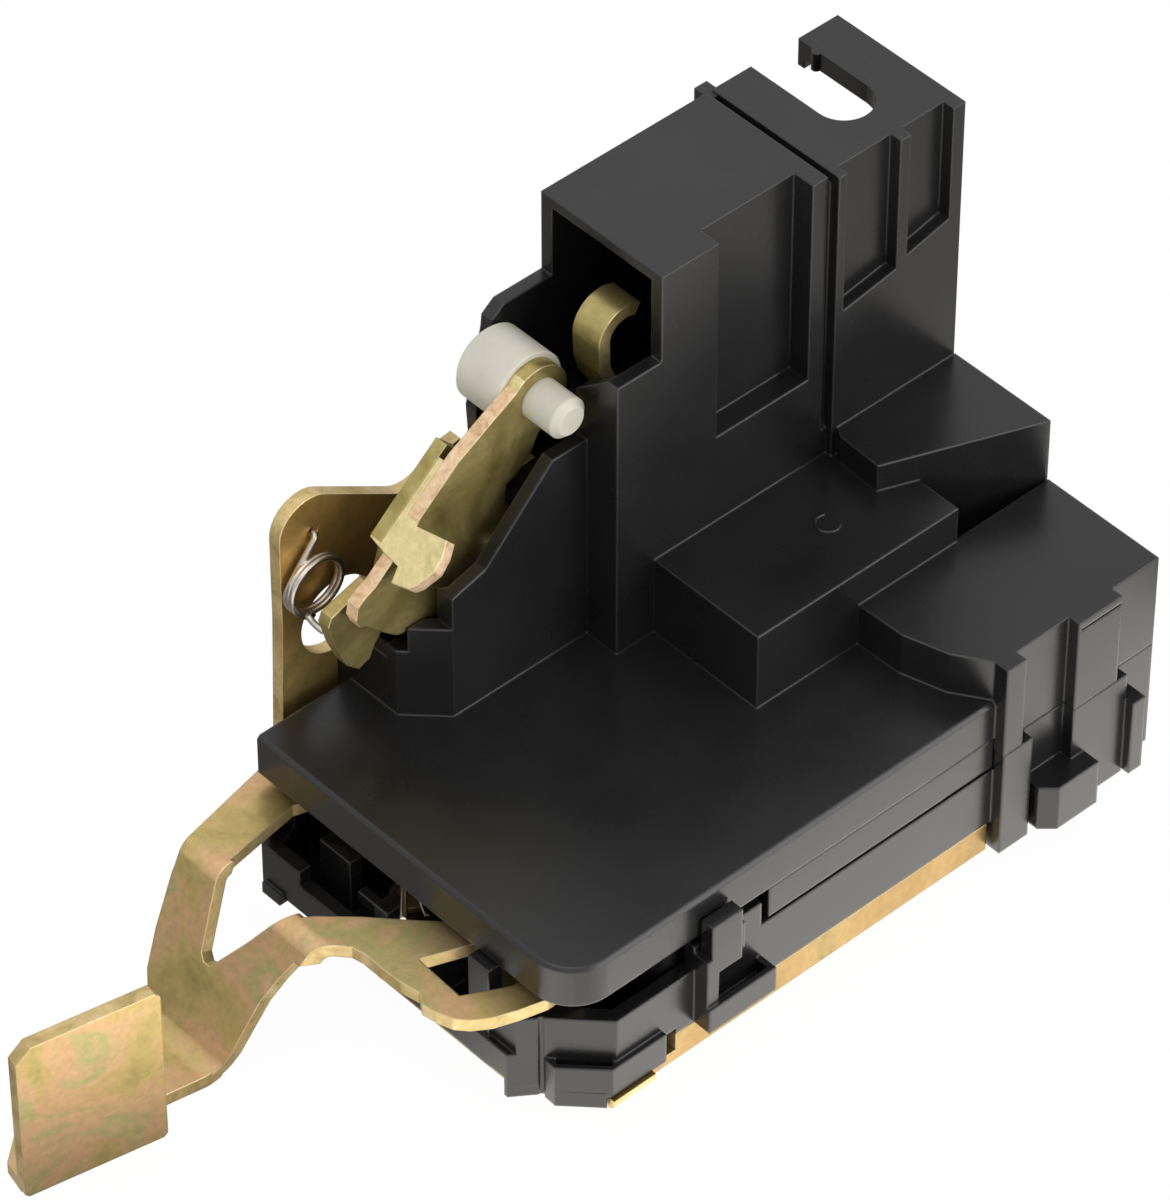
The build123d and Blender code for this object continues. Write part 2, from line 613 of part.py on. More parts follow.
# ============================================================ steel bracket
latch_edge = (latch_front + 1.3, 40.6)
latch_lobe_corner = (latch_front + 1.3, 63.5)
latch_valley_corner = (-20.5, 49.5)
base_outline = [
    (plate_left, bracket_corner), (bracket_front_left, bracket_corner), (bracket_front_left, bracket_front),
    (half_width - 12.1, bracket_front), (half_width - 12.1, bracket_corner), (half_width - 6.6, bracket_corner),
    (half_width - 6.6, tab_front), (tab_reach, tab_front),
    (tab_reach, tab_back), (half_width, tab_back), (half_width, bracket_back), (plate_left, bracket_back),
]
with BuildPart() as steel_bracket:
    plan_prism(base_outline, 0, base_thickness)
    with BuildSketch(Plane.YZ.offset(plate_left)) as latch_plate:
        with BuildLine():
            Polyline((latch_back, latch_shelf), (latch_back, 0), (latch_front, 0), (latch_front + 0.8, 24.0),
                     latch_edge)
            FilletPolyline(latch_edge, latch_lobe_corner, latch_valley_corner, (-14.5, latch_shelf - 0.4),
                           (latch_back, latch_shelf), radius=(latch_lobe, latch_lobe, 1.5))
        make_face()
    extrude(latch_plate.sketch, amount=sheet)
    cuboid((half_width - base_thickness, half_width), (lip_front, bracket_back), (0, lip_height))
    for x in (-bolt_x, bolt_x):
        for y in (-bolt_y, bolt_y):
            upright(x, y, bolt_collar, 0, base_thickness + bolt_collar_height)
            upright(x, y, bolt_hole, -1, base_thickness + bolt_collar_height, Mode.SUBTRACT)
    for place in rivet_places:
        upright(*place, rivet_radius + seat_gap, -1, base_thickness, Mode.SUBTRACT)
    for place in [front_screw] + frame_screws:
        upright(*place, screw_head + seat_gap, -1, base_thickness, Mode.SUBTRACT)
    crossbar(latch_hole_y, latch_hole_z, latch_hole, plate_left - 1, plate_left + sheet, Mode.SUBTRACT)
    crossbar(hook_hole_y, hook_hole_z, hook_hole, plate_left - 1, plate_left + sheet, Mode.SUBTRACT)
    fold = steel_bracket.edges().filter_by(Axis.Y).group_by(Axis.Z)[0].sort_by(Axis.X)
    fillet([fold[0], fold[-1]], 1.2)
finish(steel_bracket, "steel_bracket")

for index, place in enumerate(rivet_places, start=1):
    with BuildPart() as rivet:
        upright(*place, rivet_radius, 0, floor_top + seat_gap)
        upright(*place, rivet_head, floor_top + seat_gap, floor_top + seat_gap + rivet_head_height)
    finish(rivet, f"bracket_rivet_{index}")

for index, place in enumerate([front_screw] + frame_screws + rear_screws, start=1):
    with BuildPart() as screw:
        upright(*place, screw_head, rear_bottom, screw_head_height)
        upright(*place, screw_radius, screw_head_height, screw_tip)
        upright(*place, screw_socket, rear_bottom - 1, rear_bottom + 1, Mode.SUBTRACT)
    finish(screw, f"housing_screw_{index}")


# ============================================================ release lever, folded from one sheet
slope = radians(lever_slope)
slope_length = (lever_top - lever_foot_top) / sin(slope)
foot_bend_y = lever_bend_y - slope_length * cos(slope)
flat_outline = [
    (-28.5, -66.5), (-21.4, -66.5), (-21.8, -62.8), (-23.9, -49.5), (-22.6, -45.4), (-20.0, -44.0),
    (5.0, -44.0), (5.8, -45.0), (5.0, -48.6), (2.0, -51.5), (-2.9, -56.0), (-7.0, -60.3), (-9.4, -64.0),
    (-10.5, -66.5),
    (-4.4, -66.5), (-2.8, -63.8), (-1.4, -61.9), (0.4, -60.4), (3.0, -59.9), (5.4, -60.1), (9.0, -59.9),
    (12.1, -59.3), (13.8, -60.4), (16.1, -60.0), (18.4, -59.2), (20.0, -57.8), (21.6, -55.4), (22.9, -51.8),
    (23.9, -48.0), (23.9, -42.0), (21.5, -38.0), (18.0, -36.4), (-22.0, -34.0), (-28.0, -33.6), (-31.0, -37.0),
    (-31.5, -42.0), (-31.9, -48.5), (-28.9, -62.4),
]
window_outline = [(7.7, -55.5), (15.9, -55.9), (19.1, -49.9), (19.6, -44.8), (11.0, -44.4), (10.2, -49.1)]
slope_outline = [
    (-28.5, 1.0), (-21.5, 1.0), (-21.3, -2.0), (-20.2, -7.8), (-19.5, -11.4), (-18.6, -12.3), (-17.4, -12.2),
    (-13.2, -6.0), (-9.6, 0.0), (-8.9, 1.0), (-2.9, 1.0), (-3.6, -0.4), (-6.4, -7.2), (-7.8, -11.6),
    (-8.7, -17.2), (-9.2, -20.5), (-10.6, -slope_length - 1), (-22.6, -slope_length - 1),
    (-25.4, -21.4), (-26.9, -18.6), (-27.9, -13.0), (-28.6, -5.0),
]
foot_outline = [
    (-22.6, foot_bend_y + 1), (-10.3, foot_bend_y + 1), (-10.9, -77.0), (-11.8, -82.0), (-11.8, -91.4),
    (-10.9, -92.6), (-12.9, -105.4), (-16.6, -104.6), (-19.6, -101.0), (-20.8, -93.0), (-20.8, -82.0),
    (-21.2, -77.5),
]
turn = radians(pad_turn)
pad_low = lever_foot_top - lever_sheet
pad_outline = [
    (0.6, pad_low), (pad_width - 0.6, pad_low), (pad_width, pad_low + 0.6),
    (pad_width, pad_low + pad_height - pad_chamfer), (pad_width - pad_chamfer, pad_low + pad_height),
    (0.8, pad_low + pad_height), (0, pad_low + pad_height - 0.8), (0, pad_low + 0.6),
]
pad_plane = Plane(origin=(pad_corner_x, pad_corner_y, 0), x_dir=(-sin(turn), -cos(turn), 0),
                  z_dir=(-cos(turn), sin(turn), 0))
slope_plane = Plane(origin=(0, lever_bend_y, lever_top), x_dir=(1, 0, 0), z_dir=(0, -sin(slope), cos(slope)))
with BuildPart() as release_lever:
    # folded strip, wider than the lever
    with BuildSketch(Plane.YZ.offset(-40)) as strip:
        with BuildLine():
            FilletPolyline((-30, lever_top), (lever_bend_y, lever_top), (foot_bend_y, lever_foot_top),
                           (-108, lever_foot_top), radius=lever_bend)
            offset(amount=lever_sheet, side=Side.LEFT)
        make_face()
    extrude(strip.sketch, amount=70)
    # outlines of the flat part, the slope and the foot, each square to its own stretch of sheet
    with BuildPart(mode=Mode.INTERSECT):
        with BuildSketch(Plane.XY.offset(lever_top - 3.2)):
            with BuildLine():
                Polyline(*flat_outline, close=True)
            make_face()
            with BuildLine():
                Polyline(*window_outline, close=True)
            make_face(mode=Mode.SUBTRACT)
        extrude(amount=6)
        with BuildSketch(slope_plane.offset(-2.6)):
            with BuildLine():
                Polyline(*slope_outline, close=True)
            make_face()
        extrude(amount=3.2)
        with BuildSketch(Plane.XY.offset(pad_low - 0.6)):
            with BuildLine():
                Polyline(*foot_outline, close=True)
            make_face()
        extrude(amount=3.2)
    # thumb pad, hub and bore
    extrude(outline(pad_plane, pad_outline), amount=lever_sheet)
    upright(lever_pivot_x, lever_pivot_y, lever_hub, lever_low, lever_top)
    upright(lever_pivot_x, lever_pivot_y, lever_pin + running_fit, lever_low - 1, lever_top + 1, Mode.SUBTRACT)
finish(release_lever, "release_lever")

with BuildPart() as release_lever_pin:
    upright(lever_pivot_x, lever_pivot_y, lever_pin, 8.4, lever_top + slide_gap)
    upright(lever_pivot_x, lever_pivot_y, lever_pin + 1.6, lever_top + slide_gap, lever_top + 1.6)
finish(release_lever_pin, "release_lever_pin")


def wire_leg(start, end, wire):
    """A straight run of wire between two points."""
    run = Vector(*end) - Vector(*start)
    with BuildSketch(Plane(origin=start, z_dir=run.normalized())) as section:
        Circle(wire)
    extrude(section.sketch, amount=run.length)


# the closed windings of each spring are one sleeve
with BuildPart() as release_lever_spring:
    upright(*spring_peg, peg_winding + spring_wire, peg_winding_low, peg_winding_high)
    upright(*spring_peg, peg_winding - spring_wire, peg_winding_low - 1, peg_winding_high + 1, Mode.SUBTRACT)
    wire_leg((spring_peg[0], spring_peg[1] - peg_winding, peg_winding_low + 0.8),
             (-4.0, -44.0, peg_winding_low), spring_wire)
    wire_leg((spring_peg[0] + peg_winding, spring_peg[1], peg_winding_high - 1), (-1.0, -50.6, lever_low - 1),
             spring_wire)
finish(release_lever_spring, "release_lever_spring")


# ============================================================ swing lever with its two webs and bridge
swing = radians(swing_slope)
edge_y = eye_y - 3.9
edge_z = eye_z + 5.76
bridge_drop = 0.2
bridge_plane = Plane(origin=(0, edge_y, edge_z - bridge_drop), x_dir=(1, 0, 0),
                     z_dir=(0, -sin(swing), cos(swing)))
near_web = [
    (edge_y + 1.1, edge_z - 2.2), (-16.3, 69.5), (-23.3, 65.5), (-30.1, 59.7), (-30.5, 58.9), (-37.6, 52.8),
    (-39.4, 51.9),
    (-40.7, 50.9), (-41.0, 48.9), (-40.4, 47.3), (-39.4, 46.9), (-36.4, 43.9), (-34.5, 42.2), (-33.4, 41.8),
    (-29.7, 41.5), (-22.0, 41.0), (-17.0, 41.0), (-13.0, 44.0), (-15.0, 52.3), (-15.6, 53.2), (-15.4, 56.6),
    (-13.8, 57.0), (-11.0, 59.6), (-9.7, 62.2), (eye_y + 1.5, eye_z - eye_radius + 0.3), (eye_y, eye_z),
]
far_web = [
    (-22.7, 66.0), (-30.3, 59.5), (-34.0, 56.2), (-32.9, 53.3), (-34.1, 49.0), (-36.2, 50.2), (-39.0, 49.4),
    (-42.6, 48.3), (-43.2, 46.9), (-42.0, 42.5), (-40.3, 38.4), (-38.3, 36.5), (-36.4, 37.2), (-35.5, 39.3),
    (-33.0, 42.0), (-26.3, 40.5), (-17.0, 41.0), (-12.6, 44.0), (-9.2, 48.8), (-6.1, 51.8), (-7.6, 54.6),
    (-14.0, 54.0), (-17.0, 58.0), (-19.0, 62.0),
]
bridge = [
    (web_left - swing_sheet, -13.8), (web_right, -13.8), (web_right, -22.6), (-14.9, -21.7), (-14.1, -23.6),
    (-13.8, -25.9), (-14.8, -28.5), (-15.6, -29.6), (-18.3, -30.3), (-18.9, -28.1), (-21.8, -27.8),
    (web_left - swing_sheet, -27.2),
]
with BuildPart() as swing_lever:
    side_prism(near_web, web_right - swing_sheet, web_right)
    crossbar(eye_y, eye_z, eye_radius, web_right - swing_sheet, web_right)
    side_prism(far_web, web_left - swing_sheet, web_left)
    for left in (web_right - swing_sheet, web_left - swing_sheet):
        crossbar(swing_pivot_y, swing_pivot_z, 5.0, left, left + swing_sheet)
    extrude(outline(bridge_plane, bridge), amount=-swing_sheet)
    crossbar(swing_pivot_y, swing_pivot_z, swing_pin + running_fit, tower_left, mouth_right, Mode.SUBTRACT)
    crossbar(eye_y, eye_z, bush_neck + running_fit, web_right - 3, web_right + 1, Mode.SUBTRACT)
finish(swing_lever, "swing_lever")

with BuildPart() as swing_lever_pin:
    crossbar(swing_pivot_y, swing_pivot_z, swing_pin, inner_left - 0.9, channel_right - 0.7)
finish(swing_lever_pin, "swing_lever_pin")

with BuildPart() as rod_bush:
    crossbar(eye_y, eye_z, bush_radius, web_right - swing_sheet - bush_length, web_right - swing_sheet)
    crossbar(eye_y, eye_z, bush_neck, web_right - swing_sheet, web_right)
    crossbar(eye_y, eye_z, bush_pin, web_right, web_right + bush_pin_length)
    chamfer(rod_bush.faces().sort_by(Axis.X)[-1].edges(), 0.9)
    chamfer(rod_bush.faces().sort_by(Axis.X)[0].edges(), 0.5)
    crossbar(eye_y, eye_z, bush_bore, web_right - swing_sheet - bush_length, web_right - swing_sheet - 1,
             Mode.SUBTRACT)
finish(rod_bush, "rod_bush")

with BuildPart() as toggle_spring:
    crossbar(toggle_y, toggle_z, toggle_winding + spring_wire, toggle_left, toggle_left + toggle_width)
    crossbar(toggle_y, toggle_z, toggle_winding - spring_wire, toggle_left - 1, toggle_left + toggle_width + 1,
             Mode.SUBTRACT)
    wire_leg((toggle_left + 0.8, toggle_y - 3.5, toggle_z + 2.5), (toggle_left + 0.5, hook_hole_y, hook_hole_z),
             spring_wire)
    crossbar(hook_hole_y, hook_hole_z, spring_wire, plate_left - 0.4, toggle_left + 0.9)
    wire_leg((toggle_left + 1.6, toggle_y, toggle_z - toggle_winding),
             (web_left - 3.0, toggle_y - 2.6, toggle_z - 3.7), spring_wire)
finish(toggle_spring, "toggle_spring")


# ============================================================ lock lever with its rolled hook
arm_low = lock_pivot_z - lock_arm
tip = radians(hook_tip_angle)
tip_way = (hook_y + 12 * cos(tip), hook_z + 12 * sin(tip))
strip_outline = [
    (hook_y - hook_radius, hook_z + 0.1), (hook_y - 4.5, hook_z - 4.2), (hook_y - 3.7, hook_z - 7.1),
    (hook_y - 1.6, hook_z - 10.5), (lock_pivot_y - 3.0, lock_pivot_z), (lock_pivot_y, lock_pivot_z),
    (hook_y + 0.2, hook_z - 9.4), (hook_y - 1.8, hook_z - 6.2), (hook_y - 2.6, hook_z - 3.9),
    (hook_y - hook_radius + lock_sheet, hook_z + 0.1),
]
with BuildPart() as lock_lever:
    with BuildSketch(Plane.YZ.offset(lock_left)) as hook:
        with Locations((hook_y, hook_z)):
            Circle(hook_radius)
            Circle(hook_radius - lock_sheet, mode=Mode.SUBTRACT)
        with BuildLine():
            Polyline((hook_y, hook_z), tip_way, (hook_y + 12, hook_z - 12), (hook_y - 12, hook_z - 12),
                     (hook_y - 12, hook_z), close=True)
        make_face(mode=Mode.SUBTRACT)
    extrude(hook.sketch, amount=lock_width)
    side_prism(strip_outline, lock_left, lock_left + lock_width)
    crossbar(lock_pivot_y, lock_pivot_z, lock_pin + 1.6, lock_left, lock_left + lock_width)
    cuboid((lock_left, lock_left + lock_width), (lock_pivot_y - 1.2, lock_pivot_y + 1.2),
           (arm_low, lock_pivot_z))
    crossbar(lock_pivot_y, arm_low, bead_radius, lock_left, lock_left + lock_width)
    crossbar(lock_pivot_y, lock_pivot_z, lock_pin + running_fit, lock_left - 1, lock_left + lock_width + 1,
             Mode.SUBTRACT)
finish(lock_lever, "lock_lever")

with BuildPart() as lock_lever_pin:
    crossbar(lock_pivot_y, lock_pivot_z, lock_pin, inner_left - 0.9, recess_x)
finish(lock_lever_pin, "lock_lever_pin")


# ============================================================ locking drive: motor, worm, wheel and slider
def tooth(angle, pitch_radius, width):
    """A straight-sided gear tooth centred on an angle, as plan points."""
    stations = ((pitch_radius - 1.6 * module, width * 1.5), (pitch_radius, width),
                (pitch_radius + module, width * 0.42))
    rising = [(radius, -half) for radius, half in stations]
    falling = [(radius, half) for radius, half in reversed(stations)]
    return [(wheel_x + radius * cos(angle) - half * sin(angle),
             wheel_y + radius * sin(angle) + half * cos(angle))
            for radius, half in rising + falling]


def gear(teeth, low, high, half_tooth, phase):
    """A spur gear on the wheel's axis."""
    pitch_radius = module * teeth / 2
    upright(wheel_x, wheel_y, pitch_radius - 1.25 * module, low, high)
    for index in range(teeth):
        plan_prism(tooth(phase + 2 * pi * index / teeth, pitch_radius, half_tooth), low, high)


with BuildPart() as worm_wheel:
    gear(wheel_teeth, wheel_low, wheel_low + wheel_face, 0.42, pi / wheel_teeth)
    gear(pinion_teeth, wheel_low + wheel_face, pinion_top, 0.62, 0.0)
    upright(wheel_x, wheel_y, axle_radius + running_fit, wheel_low - 1, pinion_top + 1, Mode.SUBTRACT)
finish(worm_wheel, "worm_wheel")

with BuildPart() as wheel_axle:
    upright(wheel_x, wheel_y, axle_radius, base_thickness + 1 + seat_gap, frame_top)
finish(wheel_axle, "wheel_axle")

with BuildPart() as worm:
    longbar(motor_x, drive_z, worm_root, worm_front, worm_front + worm_length)
    with BuildLine() as thread_path:
        Helix(pitch=pi * module, height=worm_length - 5.5, radius=worm_root - 0.2,
              center=(motor_x, thread_front, drive_z), direction=(0, 1, 0))
    thread_start = thread_path.line @ 0
    with BuildSketch(Plane(origin=thread_start, x_dir=thread_start - Vector(motor_x, thread_start.Y, drive_z),
                           z_dir=thread_path.line % 0)) as thread_section:
        with BuildLine():
            Polyline((0, -0.95), (2.45, -0.32), (2.45, 0.32), (0, 0.95), close=True)
        make_face()
    sweep(sections=thread_section.sketch, path=thread_path.line, is_frenet=True)
    longbar(motor_x, drive_z, shaft_radius + seat_gap / 2, worm_front - 1, worm_front + worm_length + 1,
            Mode.SUBTRACT)
finish(worm, "worm")

with BuildPart() as motor_shaft:
    longbar(motor_x, drive_z, shaft_radius, -7.6, motor_back + motor_cap - 1)
finish(motor_shaft, "motor_shaft")

with BuildPart() as motor_armature:
    longbar(motor_x, drive_z, armature_radius, motor_front + 4, motor_front + 15)
    longbar(motor_x, drive_z, 2.6, motor_front + 15, motor_back - 1)
    for index in range(3):
        angle = pi / 6 + 2 * pi * index / 3
        longbar(motor_x + 6.6 * cos(angle), drive_z + 6.6 * sin(angle), 1.6, motor_front + 3,
                motor_front + 16, Mode.SUBTRACT)
    longbar(motor_x, drive_z, shaft_radius + seat_gap / 2, motor_front, motor_back, Mode.SUBTRACT)
finish(motor_armature, "motor_armature")

with BuildPart() as motor_can:
    with BuildSketch(Plane.XZ.offset(-motor_back)):
        with Locations((motor_x, drive_z)):
            RectangleRounded(motor_width, motor_height, 4)
    extrude(amount=motor_length)
    with BuildSketch(Plane.XZ.offset(-motor_back)):
        with Locations((motor_x, drive_z)):
            RectangleRounded(motor_width - 2, motor_height - 2, 3)
    extrude(amount=motor_length - 1, mode=Mode.SUBTRACT)
    longbar(motor_x, drive_z, 3.2, motor_front - 1.6, motor_front + 1)
    longbar(motor_x, drive_z, shaft_radius + running_fit, motor_front - 2, motor_front + 2, Mode.SUBTRACT)
finish(motor_can, "motor_can")

with BuildPart() as motor_end_cap:
    with BuildSketch(Plane.XZ.offset(-motor_back)):
        with Locations((motor_x, drive_z)):
            RectangleRounded(motor_width - 0.6, motor_height - 0.6, 3.6)
    extrude(amount=-motor_cap)
    longbar(motor_x, drive_z, shaft_radius + running_fit, motor_back - 1, motor_back + motor_cap - 0.8,
            Mode.SUBTRACT)
finish(motor_end_cap, "motor_end_cap")

for side, name in ((-1, "motor_magnet_left"), (1, "motor_magnet_right")):
    near, far = sorted((motor_x + side * 2.5, motor_x + side * (motor_width / 2 - 1.1)))
    with BuildPart() as magnet:
        cuboid((near, far), (motor_front + 3, motor_front + 16), (drive_z - 3.6, drive_z + 3.6))
        longbar(motor_x, drive_z, magnet_bore, motor_front, motor_back, Mode.SUBTRACT)
    finish(magnet, name)

with BuildPart() as worm_tail_bearing:
    longbar(motor_x, drive_z, 2.5, -8.0, -4.0)
    longbar(motor_x, drive_z, shaft_radius + running_fit, -9.0, -3.0, Mode.SUBTRACT)
finish(worm_tail_bearing, "worm_tail_bearing")

rack_line = wheel_x - module * pinion_teeth / 2 - seat_gap
rack_root = rack_line - 1.25 * module
with BuildPart() as lock_slider:
    cuboid((slider_left, rack_root), (-6.0, 34.0), (slider_low, slider_top))
    for step in range(-3, 4):
        y = wheel_y + (step + 0.5) * pi * module
        plan_prism([(rack_root - 0.4, y - 1.05), (rack_line + module, y - 0.26), (rack_line + module, y + 0.26),
                    (rack_root - 0.4, y + 1.05)], slider_low, slider_top)
    cuboid((lock_left - 1.4, slider_left + 0.5), (lock_pivot_y - 4, lock_pivot_y + 4), (slider_low, slider_top))
    cuboid((lock_left + 0.2, lock_left + 3.2), (lock_pivot_y - 4, lock_pivot_y + 4),
           (slider_low, arm_low + 1.4))
    fork_gap = bead_radius + slide_gap
    cuboid((lock_left, lock_left + 4), (lock_pivot_y - fork_gap, lock_pivot_y + fork_gap),
           (arm_low - 2.4, arm_low + 3), Mode.SUBTRACT)
finish(lock_slider, "lock_slider")


# ============================================================ circuit board, terminals and switches
with BuildPart() as circuit_board:
    cuboid((board_left, board_right), (board_front, board_back), (board_z + seat_gap, board_top))
finish(circuit_board, "circuit_board")

for index in range(blade_count):
    x = blade_x(index)
    with BuildPart() as blade:
        cuboid((x - blade_width / 2, x + blade_width / 2), (board_back - 2.4, cover_back - 2.6),
               (blade_z, blade_z + blade_thickness))
        cuboid((x - blade_width / 2, x + blade_width / 2), (board_back - 2.4, board_back - 1.6),
               (board_top, blade_z + blade_thickness))
    finish(blade, f"terminal_{index + 1}")

for index, (x, y) in enumerate(switch_places, start=1):
    with BuildPart() as switch:
        cuboid((x - switch_width / 2, x + switch_width / 2), (y - switch_depth / 2, y + switch_depth / 2),
               (board_top, switch_top))
        upright(x, y, plunger_radius + 0.8, switch_top - 3, switch_top - 1, Mode.SUBTRACT)
        upright(x, y, plunger_radius + running_fit, switch_top - 3, switch_top + 1, Mode.SUBTRACT)
    finish(switch, f"switch_body_{index}")
    with BuildPart() as plunger:
        upright(x, y, plunger_radius, switch_top - 1.8, switch_top + plunger_rise)
        upright(x, y, plunger_radius + 0.5, switch_top - 1.9, switch_top - 1.1)
    finish(plunger, f"switch_plunger_{index}")
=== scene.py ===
"""Dresses the door latch actuator: moulded shell, plated steel levers, springs, drive, studio and camera."""

from __future__ import annotations

import logging
import math
from dataclasses import dataclass
from enum import Enum
from typing import Iterable, Sequence

import bpy
from mathutils import Matrix, Vector

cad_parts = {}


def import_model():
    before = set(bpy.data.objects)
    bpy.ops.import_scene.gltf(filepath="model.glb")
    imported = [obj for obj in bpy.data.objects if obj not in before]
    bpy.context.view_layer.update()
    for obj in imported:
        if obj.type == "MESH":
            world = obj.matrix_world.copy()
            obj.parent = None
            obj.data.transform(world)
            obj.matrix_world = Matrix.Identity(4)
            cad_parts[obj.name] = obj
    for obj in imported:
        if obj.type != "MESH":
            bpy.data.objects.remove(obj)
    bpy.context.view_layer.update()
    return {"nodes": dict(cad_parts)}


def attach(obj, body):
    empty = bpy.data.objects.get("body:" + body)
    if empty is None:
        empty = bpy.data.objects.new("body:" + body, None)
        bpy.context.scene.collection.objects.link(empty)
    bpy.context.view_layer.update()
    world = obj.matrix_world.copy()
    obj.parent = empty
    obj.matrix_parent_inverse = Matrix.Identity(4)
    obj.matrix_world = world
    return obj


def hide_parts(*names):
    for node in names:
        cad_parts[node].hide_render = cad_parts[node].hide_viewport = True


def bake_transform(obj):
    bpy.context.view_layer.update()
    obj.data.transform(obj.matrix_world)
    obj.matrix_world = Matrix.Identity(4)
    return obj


LOG = logging.getLogger("door_latch_actuator")
MM = 0.001
Colour = tuple[float, float, float]
Point = tuple[float, float, float]
Span = tuple[float, float]
LOW_STOP, HIGH_STOP = 0.3, 0.7
FACE_MATCH = 0.98
FACING = 0.9
# The third slot holds painted shade on the bracket's foot and painted light on the swing lever's upward
# faces.
PLATED, EDGE, PAINTED_SHADE_AND_LIGHT = range(3)
GRAINED = 1
FLAT_SLACK = 0.08
BEND_SLACK = 0.12
POINTS_PER_TURN = 16


class Grain(Enum):
    """Surface grain that a moulded finish carries."""

    FINE = 2600.0
    COARSE = 1100.0


class Axis(Enum):
    """Axis that a spring is wound about."""

    ALONG_X = "x"
    ALONG_Z = "z"


def millimetres(*values: float) -> Vector:
    """Turn a place in millimetres into metres."""
    return Vector(value * MM for value in values)


# ------------------------------------------------------------------ node helpers
def add_node(tree: bpy.types.NodeTree, kind: str, **values: object) -> bpy.types.Node:
    """Add a shader node and set its properties and input values.

    Args:
        tree: Node tree that takes the node.
        kind: Node type, without the ShaderNode prefix.
        values: Properties by name, or input values by socket name with _ for a space.

    Returns:
        The new node.
    """
    node = tree.nodes.new("ShaderNode" + kind)
    for key, value in values.items():
        if hasattr(node, key):
            setattr(node, key, value)
        else:
            node.inputs[key.replace("_", " ")].default_value = value
    return node


def new_group(name: str, inputs: dict[str, float], outputs: dict[str, str]) -> bpy.types.NodeTree:
    """Make an empty shader node group with float inputs and named outputs.

    Args:
        name: Name of the group.
        inputs: Default value of each float input.
        outputs: Socket type of each output.

    Returns:
        The group's node tree, with its input and output nodes in place.
    """
    group = bpy.data.node_groups.new(name, "ShaderNodeTree")
    for label, value in inputs.items():
        socket = group.interface.new_socket(label, in_out="INPUT", socket_type="NodeSocketFloat")
        socket.default_value = value
    for label, kind in outputs.items():
        group.interface.new_socket(label, in_out="OUTPUT", socket_type=kind)
    group.nodes.new("NodeGroupInput")
    group.nodes.new("NodeGroupOutput")
    return group


def ends(group: bpy.types.NodeTree) -> tuple[bpy.types.Node, bpy.types.Node]:
    """Return a group's input node and output node."""
    return group.nodes["Group Input"], group.nodes["Group Output"]


def place_group(tree: bpy.types.NodeTree, group: bpy.types.NodeTree,
                **values: float) -> bpy.types.Node:
    """Place a node group in a tree with its own input values.

    Args:
        tree: Node tree that takes the group.
        group: The group to place.
        values: Input values by socket name with _ for a space.

    Returns:
        The group's node.
    """
    node = tree.nodes.new("ShaderNodeGroup")
    node.node_tree = group
    for key, value in values.items():
        node.inputs[key.replace("_", " ")].default_value = value
    return node


def ramp(tree: bpy.types.NodeTree, stops: Sequence[tuple[float, Colour]]) -> bpy.types.Node:
    """Add a colour ramp.

    Args:
        tree: Node tree that takes the ramp.
        stops: Place and colour of each stop.

    Returns:
        The ramp's node.
    """
    node = tree.nodes.new("ShaderNodeValToRGB")
    band = node.color_ramp
    while len(band.elements) < len(stops):
        band.elements.new(0.5)
    for element, (place, colour) in zip(band.elements, stops):
        element.position = place
        element.color = (*colour, 1.0)
    return node


def two_tones(colour: Colour, tones: Span) -> list[tuple[float, Colour]]:
    """Ramp stops from a darker to a lighter tone of one colour.

    Args:
        colour: The middle tone.
        tones: Factors of the darker and the lighter tone, which goes no higher than white.

    Returns:
        The two stops.
    """
    dark, light = tones
    return [(LOW_STOP, tuple(dark * c for c in colour)),
            (HIGH_STOP, tuple(min(1.0, light * c) for c in colour))]


def new_material(name: str) -> tuple[bpy.types.Material, bpy.types.NodeTree, bpy.types.Node]:
    """Make a material for nodes.

    Args:
        name: Name of the material.

    Returns:
        The material, its node tree and its shader.
    """
    material = bpy.data.materials.new(name)
    material.use_nodes = True
    return material, material.node_tree, material.node_tree.nodes["Principled BSDF"]


def spread_roughness(tree: bpy.types.NodeTree, middle: float, spread: Span) -> bpy.types.Node:
    """Add a range that spreads a patchy value about a roughness.

    Args:
        tree: Node tree that takes the range.
        middle: The finish's roughness.
        spread: How far the range goes below it and above it.

    Returns:
        The range's node.
    """
    return add_node(tree, "MapRange", To_Min=middle - spread[0], To_Max=middle + spread[1])


def join_grain(tree: bpy.types.NodeTree, grain: bpy.types.Node, edges: bpy.types.Node,
               tone: bpy.types.Node, rough: bpy.types.Node, bump: bpy.types.Node) -> None:
    """Drive a shader's colour, roughness and normal from moulded grain.

    Args:
        tree: Node tree that holds the shader.
        grain: The grain's group node.
        edges: The soft edges' group node.
        tone: Ramp that turns patches into colour.
        rough: Range that turns patches into roughness.
        bump: Bump that takes the grain's height.
    """
    shader = tree.nodes["Principled BSDF"]
    link = tree.links.new
    link(grain.outputs["Patch"], tone.inputs["Fac"])
    link(tone.outputs["Color"], shader.inputs["Base Color"])
    link(grain.outputs["Patch"], rough.inputs["Value"])
    link(rough.outputs["Result"], shader.inputs["Roughness"])
    link(grain.outputs["Height"], bump.inputs["Height"])
    link(edges.outputs["Normal"], bump.inputs["Normal"])
    link(bump.outputs["Normal"], shader.inputs["Normal"])


